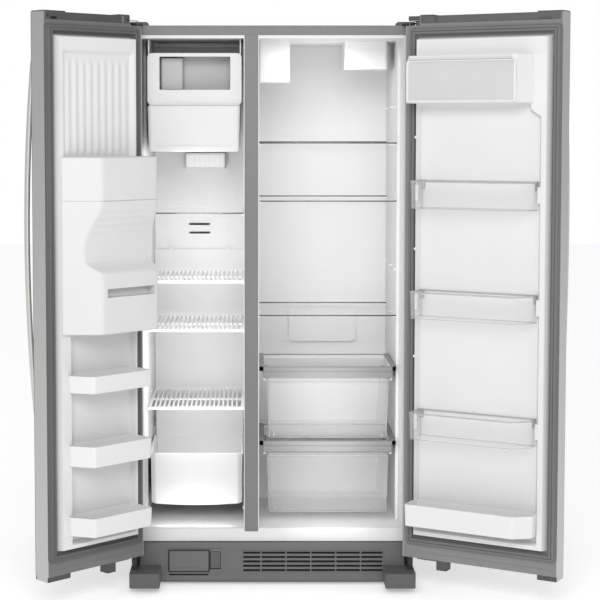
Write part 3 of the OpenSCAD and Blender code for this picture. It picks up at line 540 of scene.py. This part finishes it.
# gasket: magnet bead, bellows fold and flange
GASKET = [(0, 28.7), (0, 32), (2, 34), (2, 40.5), (4, 42.5), (17, 42.5), (19, 40.5), (19, 36),
          (21, 33), (24, 32), (24, 28.7)]
GASKET_LINE = [(9, 42), (9, 42.55), (12, 42.55), (12, 42)]
# height range of the raised fields, and the depth of the recesses that hold fences and bins
FIELD_Z, DEEP = (170.5, 1614.5), 22


def slab(s, a0, a1, z0=DOOR_Z0, z1=DOOR_Z1):
    s.prism([(a0, z0), (a1, z0), (a1, z1), (a0, z1)], *SLAB, "y")


def hinge_slab(s, a1):
    """The hinge side of a door's slab, notched round the top hinge."""
    s.prism([(-8.3, DOOR_Z0), (a1, DOOR_Z0), (a1, DOOR_Z1), (33, DOOR_Z1), (33, 1649),
             (-8.3, 1649)], *SLAB, "y")


def margin(s, a1, screws):
    """Shallow pressed line round a door's margin, and the screws on it."""
    s.ring([(0, 28.4), (0, 29.1), (1.2, 29.4), (2.4, 29.1), (2.4, 28.4)], 1, a1, 118, 1664)
    for a, z in screws:
        s.disc((a, 28.4, z), 3.2, 1.2, 16)


def seal(name, a1, rubber, body, frame_m, node):
    s = Shape().ring(GASKET, 5, a1, 143, 1642, 9)
    s.ring(GASKET_LINE, 5, a1, 143, 1642, 9, mat=1)
    piece(name, s, [rubber, DARK], body, frame_m, node)


def top_strip(a1, notch, screws):
    """Strip along a door's top, with a finger notch and two screws."""
    s = Shape().block(36, a1, 28.3, 30.8, 1655, 1675.4, 1.2, axis="y")
    s.block(*notch, 28.3, 31.6, 1655.5, 1663, 1, axis="y", mat=1)
    for a in screws:
        s.disc((a, 30.6, 1664), 2.8, 1.0, 14, mat=1)
    return s


# ---------------------------------------------------------------- freezer door
# slab in four parts round the dispenser opening
s = Shape()
hinge_slab(s, 88)
slab(s, 264, 342.3)
slab(s, 88, 264, z1=917)
slab(s, 88, 264, z0=1273)
margin(s, 337, ((12, 112), (330, 112), (330, 1669), (175, 112)))


def left_field(a, z):
    """Raised field with a fluted recess at the top and a deep one behind the fences."""
    edge = bumpf(a, 33, 313.5, 7) * bumpf(z, 174.5, 1610.5, 7)
    b = 26 + 32 * edge
    rec = bumpf(a, 47, 297, 9) * bumpf(z, 1270, 1566, 14)
    flute = bumpf(a, 57, 289, 8) * bumpf(z, 1286, 1538, 26)
    b -= rec * 11 - flute * 3.2 * (0.5 - 0.5 * math.cos(2 * math.pi * (a - 57) / 25.8))
    low = min(up(a, 44, 9), 1 - clamp((a - 266) / 14)) * bumpf(z, 192, 781, 8)
    return b - low * DEEP


us = lines(29.5, 316.5, 3.2, around(33, 313.5, w=3.5) + around(47, 297, 44, w=4.5) + [266, 280])
zs = lines(*FIELD_Z, 16, around(174.5, 1610.5, w=3.5) + around(1270, 1566, w=7)
           + around(192, 781, w=4) + around(1286, 1538, w=13))
s.field(us, zs, left_field, 20, mat=1)
# three fences with thin walls and a soft lip
FENCE = fillet([(44, 40), (44, 131), (258, 131), (292, 66), (292, 40)], [1, 9, 16, 10, 1])
for z0, z1 in ((620, 669), (413, 472), (216, 270)):
    s.tray(FENCE, z0, z1, t=3.2, floor=4, foot=4, taper=1.5, rim_h=7, mat=2, rim_mat=2)
piece("freezer_door_liner", s, [MARGIN, WHITE, WHITE2], "freezer_door", LEFT, "freezer_door_inner")

# the freezer strip's finger notch and screws are in the painted shade black
s = top_strip(338, (300, 322), (44, 331))
s.block(56, 66, 28.3, 31.2, 1656, 1675, 1.2, axis="y", mat=2)
piece("freezer_top_strip", s, [DARK, PAINTED_SHADE_BLACK, MARGIN], "freezer_door", LEFT)

# housing of the chute: one relief, with the hand scoop running out into the slanted side
HOUSE_B, HOUSE_Z0, HOUSE_Z1 = 58.4, 784, 1276
HOUSE = fillet([(26, HOUSE_B), (26, 140), (233, 140), (312, 62), (312, HOUSE_B)],
               [0, 9, 22, 3, 0], 6)


def face_b(a):
    """Depth of the housing's plain face at a."""
    best = HOUSE_B
    for (x0, y0), (x1, y1) in zip(HOUSE, HOUSE[1:]):
        if x0 <= a <= x1 and x1 - x0 > 1e-6:
            best = max(best, y0 + (y1 - y0) * (a - x0) / (x1 - x0))
    return best


# the hand scoop's depth at each height
SCOOP = ((955, 141), (959, 136), (966, 125), (975, 113), (986, 106), (1000, 104), (1035, 104),
         (1055, 107), (1075, 113), (1095, 121), (1115, 129), (1135, 136), (1152, 141))


def scoop_b(z):
    if z <= SCOOP[0][0] or z >= SCOOP[-1][0]:
        return 160
    for (z0, b0), (z1, b1) in zip(SCOOP, SCOOP[1:]):
        if z0 <= z <= z1:
            t = (z - z0) / (z1 - z0)
            return b0 + (b1 - b0) * t * t * (3 - 2 * t)


def housing_b(a, z):
    """Face, scoop, the seam over it, the slot below it and the rounded ends."""
    b = face_b(a)
    if SCOOP[0][0] < z < SCOOP[-1][0]:
        b = max(smin(b, scoop_b(z), 7 if z > 980 else 2.5), HOUSE_B)
    b -= 2.6 * max(1 - abs(z - 1155) / 1.3, 0) ** 0.5
    slot = bumpf(z, 887, 910.5, 1.2) * bumpf(a, 40, 214, 1.5)
    b -= slot * (26 + 8 * up(z, 900, 20))
    soft = clamp((z - HOUSE_Z0) / 4) * clamp((HOUSE_Z1 - z) / 4)
    return max(b - 4 * (1 - soft) ** 2, HOUSE_B)


us = lines(26.2, 311.8, 4, around(35, w=8) + around(40, 214, w=0.8) + around(226, 244, w=8)
           + [309, 304])
zs = lines(HOUSE_Z0, HOUSE_Z1, 7, [785, 787, 789, 1275, 1273, 1271, 1153.6, 1154.3, 1155, 1155.7,
                                   1156.4, 1152, 1158] + around(887, 910.5, w=0.7) + lines(950, 1152, 4))
s = Shape().field(us, zs, housing_b, 58.35)
# flange where it meets the door's field
s.block(30, 312, 57.9, 60.4, 779, 784.4, 1.0, axis="y")
piece("dispenser_back_housing", s, HOUSING, "freezer_door", LEFT, "dispenser_housing", angle=48)

seal("freezer_door_seal", 341, RUBBER, "freezer_door", LEFT, "freezer_gasket")

# ---------------------------------------------------------------- fresh food door
s = Shape()
hinge_slab(s, 461.3)
margin(s, 456, ((0, 128), (449, 112), (449, 1669), (230, 112)))


def right_field(a, z):
    """Raised field with a deep recess behind the bins, wider at its top, and a shallow head."""
    edge = bumpf(a, 33.5, 431, 8) * bumpf(z, 174.5, 1610.5, 7)
    b = 26 + 32 * edge
    hi = 372 + 30 * (1 - up(z, 1396, 26))
    deep = clamp((a - 37) / 7) * (1 - clamp((a - hi) / 11)) * bumpf(z, 194, 1420, 9)
    head = bumpf(a, 40, 424, 8) * bumpf(z, 1564, 1608, 8)
    return b - deep * DEEP - head * 1.6


us = lines(29.5, 434.5, 5, around(33.5, 431, w=4) + [37, 44, 372, 383, 402, 413]
           + around(40, 424, w=4))
zs = lines(*FIELD_Z, 16, around(174.5, 1610.5, w=3.5) + around(194, w=4.5) + lines(1380, 1426, 3)
           + around(1564, 1608, w=4))
s.field(us, zs, right_field, 20, mat=1)
# dairy shelf: floor, ends and a sloped hood
for plan, z0, z1 in (([(30, 56.5), (30, 112), (360, 112), (392, 56.5)], 1426, 1430),
                     ([(30, 56.5), (30, 92), (367, 92), (390, 56.5)], 1557, 1560)):
    s.prism(fillet(plan, [0, 3, 6, 0]), z0, z1, "z", 1, mat=2)
s.prism([(57, 1427), (112, 1427), (112, 1538), (95, 1559), (57, 1559)], 30, 33.5, "x", 0.8, mat=2)
s.block(31, 366, 90, 97, 1546, 1560, 2, mat=2, axis="x")
# slanted end wall as a thin skew plate
s.loft([[(346.5, 111.5, z), (360, 112, z), (391.6, 57, z), (388, 57, z), (347.5, 108, z)]
        for z in (1427, 1430, 1520, 1545, 1559)], mat=2)
# rests beside each bin
BINS = {"top": (1128, 1208), "middle": (815, 893), "bottom": (468, 546)}
for z, _ in BINS.values():
    for a in (35, 403):
        s.block(a, a + 10, 50, 57.6, z + 20, z + 66, 2, mat=1)
        s.disc((a + 5, 57, z + 58), 2.6, 1.4, 14, mat=1)
# spare bin buttons on the field
for z in (1330, 1010, 700):
    for a in (36.5, 417):
        s.disc((a, 57.4, z), 4, 1.8, 16, mat=1)
BOTTOM = fillet([(36, 40), (36, 124), (366, 124), (412, 84), (412, 40)], [1, 9, 16, 12, 1])
s.tray(BOTTOM, 216, 280, t=3.2, floor=4.5, foot=4, taper=2, rim_h=7, mat=2, rim_mat=2)
piece("fridge_door_liner", s, [MARGIN_LIT_RIGHT, WHITE, WHITE2], "fridge_door", RIGHT, "fridge_door_inner")

seal("fridge_door_seal", 460, RUBBER_LIT_RIGHT, "fridge_door", RIGHT, "fridge_gasket")

# the fridge door's strip is in greys one step lighter than the freezer's strip: a lit copy, painted
# light
s = top_strip(456, (392, 430), (44, 448))
s.block(78, 92, 28.3, 31.6, 1655.5, 1675, 1, axis="y", mat=1)
piece("fridge_top_strip", s, [COVER, DARK], "fridge_door", RIGHT)

# dairy door: bowed translucent flap, its grey darkened as painted shade, with rolled edges in white as
# painted highlight
FLAP = [(98.6, 1546), (104, 1547.6), (109.5, 1545.6), (113.6, 1540), (115.6, 1530), (116.2, 1512),
        (115.4, 1490), (114.6, 1465), (114.8, 1445), (115.6, 1434), (115.2, 1429.6), (113.4, 1428.6)]
FLAP_T = 2.2
s = Shape()
# the inner face lies a wall's thickness in: below the curled top edge, and behind the front
inner = [(y - FLAP_T * n[0], z - FLAP_T * n[1])
         for y, z in FLAP for n in [(0.25, 0.97) if z > 1545 else (1, 0)]]
s.loft([[(a, y, z) for y, z in FLAP + inner[::-1]] for a in (33, 60, 330, 358.6)])
RIMMED = [(min(y + 0.7, 116.9), z) for y, z in FLAP] + inner[::-1]
for a0, a1 in ((32.2, 38), (353.6, 359.4)):
    s.loft([[(a, y, z) for y, z in RIMMED] for a in (a0, a0 + 1, a1 - 1, a1)], mat=1)
s.tube([(36, 113.6, 1431.4), (120, 114.2, 1431.2), (260, 114.2, 1431.2), (356, 113.6, 1431.4)],
       2.7, 14, mat=1)
s.tube([(36, 112.4, 1543.4), (200, 112.4, 1543.6), (356, 112.4, 1543.4)], 1.6, 12, mat=1)
piece("dairy_flap", s, [FROST_PAINTED_SHADE, WHITE2], "dairy_cover", RIGHT, "dairy_cover")

# clear door bins: thin walls, a rim, a line round the foot, corner lines and end clips
OUT = fillet([(46, 37.3), (46, 120), (360, 120), (401, 78), (401, 37.3)], [2, 8, 14, 10, 2])
FOOT = inset(OUT, 2.0)
for n, (z0, z1) in BINS.items():
    s = Shape().tray(OUT, z0, z1, t=2.6, floor=3, foot=3, taper=2.5, rim_h=5, mat=0, rim_mat=1)
    s.hoop([[(p[0], p[1], z0 + 1.2 + h) for p in inset(FOOT, d)]
            for d, h in ((0, -0.8), (-0.7, 0), (0, 0.8), (1.2, 0))], 1)
    for a, b in ((358, 118.3), (398.6, 78.5), (48.4, 117.8)):
        s.tube([(a, b, z0 + 4), (a, b, z1 - 3)], 1.1, 8, mat=1)
    for a0, a1 in ((46.6, 58), (391, 400.4)):
        s.block(a0, a1, 38, 46, z1 - 26, z1 - 4, 1.5, mat=1)
    piece("bin_" + n, s, [BIN, RIM], "door_bin_" + n, RIGHT, "door_bin_" + n)


# ---------------------------------------------------------------- handles
BOW_R, BOW_MID, BOW_B = 3560, 1047, -85


def bow_b(z):
    """Depth of the bar's axis at a height: an arc of radius BOW_R."""
    return BOW_B + BOW_R - math.sqrt(BOW_R ** 2 - (z - BOW_MID) ** 2)


def bow_section(t):
    """Half width and half depth of the bar, thinner at both ends."""
    e = min(t, 1 - t)
    k = 0.35 + 0.65 * min(e / 0.03, 1) ** 0.5
    return (9 * k * (0.86 + 0.14 * min(e / 0.2, 1)), 7.4 * k)


def bow(a0):
    s = Shape()
    heights = [527 + 1040 * i / 60 for i in range(61)]
    s.tube([(a0, bow_b(z), z) for z in heights], bow_section, 20, up=(1, 0, 0))
    turns = [2 * math.pi * j / 20 for j in range(20)]
    for z in (547, 1547):
        y = bow_b(z)
        post = ((-33.1, 8.6, 11.5), (-35, 8.2, 11), (-38, 6.6, 9.5), (y + 3, 6.4, 10.5), (y, 7, 11.5))
        s.loft([[(a0 + ra * math.cos(t), b, z + rz * math.sin(t)) for t in turns]
                for b, ra, rz in post])
    return s


piece("freezer_bow_handle", bow(320), BAR, "freezer_door", LEFT, "freezer_handle")
piece("fridge_bow_handle", bow(439), BAR, "fridge_door", RIGHT, "fridge_handle")

# ---------------------------------------------------------------- freezer compartment
# ice maker housing: frame with a deep window, side cheeks, ledge
s = Shape()
OUTER, INNER = rrect(-368, -90, 1424, 1576, 13, 6), rrect(-332, -124, 1468.5, 1565, 2.5, 6)
s.hoop([[(p[0], y, p[1]) for p in inset(q, d)] for q, d, y in (
    (OUTER, 0, -316), (OUTER, 0, -320.5), (OUTER, 1.6, -322),
    (INNER, -1.6, -322), (INNER, 0, -320.5), (INNER, 0, -316))])
# lower part of the frame below the window
s.block(-333, -125, -321.8, -316.2, 1459.5, 1468.4, 1.5, axis="x")
s.block(-332, -124, -318, -297, 1455.5, 1467, 2, axis="x")
s.block(-332, -124, -318.6, -314, 1446, 1457, 2, axis="x")
for x in (-366, -96):
    s.block(x, x + 4, -317, -30, 1426, 1616.7, 1, axis="x")
s.block(-366, -92, -317, -30, 1567.4, 1572, 1, axis="z")
s.block(-362, -96, -334, -317, 1421.7, 1425, 1.2, axis="x")
# soft lip where the bin hooks in
s.block(-360, -98, -321, -316, 1424.3, 1430, 1.5, axis="x")
piece("ice_maker_cowl", s, WHITE2, "cabinet", CAB, "ice_maker_housing")

# ice bin: leaning front with round corners and a pull lip
s = Shape()
BINB = rrect(-367, -94, -336, -30, 12, 6)
s.tray(BINB, 1286, 1421, t=3.6, floor=4, foot=7, taper=3, rim_h=9, mat=0)
s.block(-340, -121, -335.4, -330, 1300, 1303, 1.2, axis="x")
piece("ice_bin_tub", s, WHITE2, "ice_bin", CAB, "ice_bin")

# black ring round the filter door's edge: painted shade of the gap round the door
s = Shape().ring([(0, -373.2), (0, -374), (0.5, -374.3), (2.2, -374.3), (2.7, -374), (2.7, -373.2)],
                 -307.2, -186.3, 40.8, 106.2, 3.4)
s.block(-292, -201, -374.2, -373.4, 52, 53.6, 0.4, axis="x", mat=1)
piece("filter_door_shade_ring", s, [PAINTED_SHADE_BLACK, COVER], "filter_cover")

# painted shade in black: a screen behind the louvres and the long slot, and a bar under the toe grille
# for the shade beneath it
s = Shape()
s.block(-309, -188, -364, -362.6, 26.6, 35.6, 0.5, axis="y")
s.block(-352, 352, -344, -338, 2.5, 13, 1.5, axis="x")
s.block(-90, 331, -363.6, -362.2, 39, 104, 0.5, axis="y")
for i in range(12):
    s.block(-88 + i * 37, -86.4 + i * 37, -364.6, -363, 40, 103, 0.5, axis="y")
piece("grille_painted_shade", s, PAINTED_SHADE_BLACK, "cabinet")

# black ring in the gap round the filter door and its button: painted shade
GAP_SHADE_RING = [(0, -369.6), (0, -366), (1.5, -366), (1.5, -369.6)]
s = Shape().ring(GAP_SHADE_RING, -308.5, -185, 39.5, 107.2, 2.5)
s.ring(GAP_SHADE_RING, -184, -152.5, 48, 102, 2.5)
piece("filter_gap_shade", s, PAINTED_SHADE_BLACK, "cabinet")

# glass shelf with a dark polished front edge
s = Shape()
s.prism(rrect(-375, -85, -248.8, 163.6, 6), 1097.4, 1102.8, "z", 0.6, mat=0)
s.block(-374.6, -85.4, -250, -246.4, 1098.2, 1102.9, 0.8, axis="x", mat=1)
for x in (-374, -92):
    s.block(x, x + 6, -246, -230, 1096.8, 1103, 1.2, mat=2)
piece("freezer_glass_sheet", s, [GLASS, EDGE, WHITE2], "freezer_glass_shelf", CAB, "freezer_glass_shelf")

# basket with a rounded, slightly bowed front, side wings and a tall solid back
s = Shape()
BK = fillet([(-366, -252), (-352, -264), (-290, -265.6), (-227, -266), (-164, -265.6),
             (-102, -264), (-88, -252), (-88, 45), (-366, 45)], [8, 10, 3, 3, 3, 10, 8, 6, 6])


def sag(p):
    """How far the basket's floor hangs at a point: most in the middle of the front."""
    return -5.5 * (1 - ((p[0] + 227) / 139) ** 2) * max(min((-p[1] - 200) / 60, 1), 0) + 5.5


s.tray(BK, 215, 376, t=3.2, floor=4, foot=6, taper=1.5, rim_h=9, mat=0, base=sag)
s.block(-366, -88, 41.2, 44.8, 366, 470, 1.6, axis="y")
s.block(-366, -88, 39.6, 45, 463, 470, 2, axis="x")
for x0, x1 in ((-372.4, -362), (-92, -86.6)):
    s.block(x0, x1, -254, 44, 370.4, 375.6, 1.5, axis="y")
for i in range(9):
    s.block(-350 + i * 30, -347 + i * 30, -250, 36, 223.5, 226, 1, axis="y")
piece("freezer_pull_basket", s, WHITE2, "freezer_basket", CAB, "freezer_basket")

# louvre lips round the two air slots, and screws of the cover
s = Shape()
for z in (1012, 1040):
    s.ring([(0, 178.6), (0, 180.2), (2.4, 180.2), (2.4, 178.6)], -267, -193, z - 3, z + 10, 6.2)
for x, z in ((-360, 1200), (-100, 1200), (-360, 985), (-100, 985)):
    s.disc((x, 180.2, z), 4, -1.6, 18)
piece("air_slot_lips", s, WHITE, "cabinet")
# ribbed cover of the lamp under the ice bin
s = Shape()
s.block(-273.6, -145.4, 119.4, 178, 1225.4, 1275.6, 7, axis="y")
for i in range(7):
    s.block(-262 + i * 16.6, -260 + i * 16.6, 118.6, 121, 1231, 1270, 0.9, axis="y")
piece("freezer_lamp_cover", s, LAMPWHITE, "cabinet")

# ---------------------------------------------------------------- fresh food compartment
# glass shelves with dark polished front and rear edges
for n, z in (("top", 1313), ("middle", 1139), ("bottom", 794)):
    s = Shape()
    s.prism(rrect(-37.9, 374.4, -248.8, 126.6, 6), z - 3.8, z - 0.2, "z", 0.5, mat=0)
    s.block(-37.6, 374.2, -249.9, -246.9, z - 4, z - 0.1, 0.7, axis="x", mat=1)
    s.block(-37.6, 374.2, 124.6, 127.9, z - 4, z - 0.1, 0.7, axis="x", mat=1)
    # the lowest sheet's front edge is a little thicker
    if n == "bottom":
        s.block(-37.8, 374.4, -250, -246, z - 4, z, 0.7, axis="x", mat=1)
    piece("sheet_" + n, s, [GLASS, EDGE], "glass_shelf_" + n, CAB, "glass_shelf_" + n)


def drawer(z0, z1):
    """Clear crisper: leaning walls, side rails, frame lines, leaning corner posts and stop tabs."""
    s = Shape()
    body = rrect(-16.5, 355.5, -245.8, 33, 8, 5)
    rows = ((13, z0), (9.5, z0 + 1), (7.5, z0 + 4), (0, z1 - 3), (3, z1 - 3), (10.2, z0 + 5),
            (12.5, z0 + 3))
    s.loft([[(p[0], p[1], z) for p in (inset(body, d) if d else body)] for d, z in rows])
    for x0, x1 in ((-20.5, -13), (352, 359.5)):
        s.block(x0, x1, -244, 32, z1 - 3.2, z1, 1, axis="y", mat=1)
    # front frame lines and corner posts
    s.block(-13, 352, -248, -245.4, z1 - 14, z1 - 10, 1, axis="x", mat=1)
    s.block(-6, 345, -248, -245.6, z0 + 1, z0 + 4, 1, axis="x", mat=1)
    front = ((-1.4, -245.6), (-1.4, -247.4), (1.4, -247.4), (1.4, -245.6))
    back = ((-0.9, 30), (-0.9, 31.6), (0.9, 31.6), (0.9, 30))
    for sgn, x in ((1, -12.5), (-1, 351.5)):
        s.loft([[(x + sgn * (5.5 * (1 - t) + k), y, z0 + 2 + (z1 - 14 - z0) * t) for k, y in front]
                for t in (0, 0.5, 1)], mat=1)
        s.loft([[(x + sgn * (9.5 * (1 - t) + 2 + k), y, z0 + 4 + (z1 - 10 - z0) * t) for k, y in back]
                for t in (0, 1)], mat=1)
    s.block(0, 339, 29.6, 31.6, z0 + 3, z0 + 5.4, 0.9, axis="x", mat=1)
    # stop tabs near the front corners
    for x in (4, 331):
        s.block(x, x + 5, -247.6, -244.6, z0 + 6, z0 + 18, 1, mat=1)
    return s


piece("crisper_drawer_upper", drawer(419, 602.4), [CRISP, RIM], "crisper_upper", CAB, "crisper_upper")
piece("crisper_drawer_lower", drawer(191, 376.4), [CRISP, RIM], "crisper_lower", CAB, "crisper_lower")

# crisper cover frames: graded front trim, dark end blocks, side rails
TRIM_PROFILE = [(-237.6, 1.2), (-239, 0.4), (-248, 0.6), (-250.6, 3.5), (-251, 12), (-250, 15),
                (-249.6, 31), (-248.4, 34), (-239, 34), (-237.6, 32)]
s = Shape()
for z in (637, 411):
    s.loft([[(x, y, z - d) for y, d in TRIM_PROFILE] for x in (-24, 363)], mat=0)
    # bright line along the top edge and the joint under it
    s.block(-23, 362, -251, -249.4, z - 16.4, z - 14.2, 0.6, axis="x", mat=1)
    for x0, x1 in ((-38.6, -24), (363, 375.6)):
        s.block(x0, x1, -252, 45.6, z - 14, z + 1.9, 2, axis="y", mat=0)
        s.block(x0 + 0.6, x1 - 0.6, -252, -236, z - 13.4, z + 1.4, 1.4, axis="y", mat=2)
    for x0, x1 in ((-25, -17), (357, 364)):
        s.block(x0, x1, -236, 45.6, z - 44, z - 38, 1, axis="y", mat=3)
    for x0, x1 in ((-25, -22), (361, 364)):
        s.block(x0, x1, -238, 45.6, z - 44, z - 4.4, 1, axis="y", mat=3)
    s.block(-25, 364, 36.4, 45.8, z - 14, z - 4.4, 1.4, axis="x", mat=3)
    # dark rear and side edge lines of the glass
    s.block(-24, 363, 35.2, 36.3, z - 2.4, z - 0.6, 0.4, axis="x", mat=2)
    for x in (-24.6, 362.4):
        s.block(x, x + 1.2, -236, 36, z - 1.6, z + 0.4, 0.5, axis="y", mat=2)
piece("crisper_cover_frames", s, [TRIM, GREY, TRIMDARK, WHITE2], "cabinet", CAB, "crisper_frames")

# rib of the lens
s = Shape().block(226, 348, -160, -150, 1533.9, 1537, 1, axis="x")
piece("lens_ribs", s, WHITE2, "cabinet")

# ---------------------------------------------------------------- stage
FLOOR_HALF = 14
fm, fnt, fp = new_mat("floor")
fnt.links.new(ramp(fnt, noise(fnt, coords(fnt), 1.5, 2), [(0.3, grey(0.93)), (0.7, grey(0.95))]),
              fp.inputs["Base Color"])
fp.inputs["Roughness"].default_value = 0.9
# a faint glow keeps the floor as pale as the backdrop
fp.inputs["Emission Color"].default_value = (1, 1, 1, 1)
fp.inputs["Emission Strength"].default_value = 0.36
floor_mesh = bpy.data.meshes.new("floor")
floor_mesh.from_pydata([(x * FLOOR_HALF, y * FLOOR_HALF, 0) for x, y in
                        ((-1, -1), (1, -1), (1, 1), (-1, 1))], [], [(0, 1, 2, 3)])
floor_mesh.materials.append(fm)
floor = bpy.data.objects.new("floor", floor_mesh)
bpy.context.scene.collection.objects.link(floor)

world = bpy.data.worlds.new("studio")
world.use_nodes = True
wt = world.node_tree
wt.nodes["Background"].inputs["Color"].default_value = (1, 1, 1, 1)
# the backdrop is seen as pure white, and lights the object a little less
path = wt.nodes.new("ShaderNodeLightPath")
level = wt.nodes.new("ShaderNodeMapRange")
level.inputs["To Min"].default_value = 0.62
level.inputs["To Max"].default_value = 1.0
wt.links.new(path.outputs["Is Camera Ray"], level.inputs["Value"])
wt.links.new(level.outputs["Result"], wt.nodes["Background"].inputs["Strength"])
bpy.context.scene.world = world


def area(name, loc, look, size, power):
    """A rectangular lamp that lights the scene and isn't seen itself."""
    lamp = bpy.data.lights.new(name, "AREA")
    lamp.shape = "RECTANGLE"
    lamp.size, lamp.size_y = size
    lamp.energy = power
    o = bpy.data.objects.new(name, lamp)
    bpy.context.scene.collection.objects.link(o)
    o.location = loc
    o.rotation_euler = (Vector(look) - Vector(loc)).to_track_quat("-Z", "Y").to_euler()
    o.visible_camera = False


# soft box over the camera, and the lamps that light the two compartments
area("soft_box", (-0.4, -5.6, 3.2), (0, 0, 0.8), (3.0, 2.0), 150)
area("freezer_lamp", (-0.222, -0.345, 0.90), (-0.222, 0.2, 0.90), (0.14, 0.72), 1.9)
area("basket_lamp", (-0.232, -0.30, 0.47), (-0.232, 0.2, 0.44), (0.20, 0.08), 0.24)
area("floor_lamp", (-0.232, -0.35, 0.19), (-0.232, 0.1, 0.15), (0.22, 0.03), 0.12)
area("fridge_lamp", (0.14, -0.40, 1.12), (0.15, 0.2, 1.10), (0.20, 0.86), 1.15)
area("fridge_top_lamp", (0.17, -0.20, 1.50), (0.17, 0.2, 1.46), (0.16, 0.10), 0.20)
area("crisper_lamp", (0.17, -0.40, 0.41), (0.17, 0.2, 0.40), (0.22, 0.44), 0.66)

cam_data = bpy.data.cameras.new("camera")
cam = bpy.data.objects.new("camera", cam_data)
bpy.context.scene.collection.objects.link(cam)
bpy.context.scene.camera = cam
PITCH = 4  # degrees down; the shifts keep the framing
cam_data.lens = 100.8
cam_data.sensor_width = 36
cam_data.shift_x = 0.0812
cam_data.shift_y = -0.0946
cam_data.clip_end = 60
cam.location = (-0.0619, -5.2845, 1.3626)
cam.rotation_euler = (math.radians(90 - PITCH), 0, 0)
bpy.context.scene.view_settings.view_transform = "Standard"
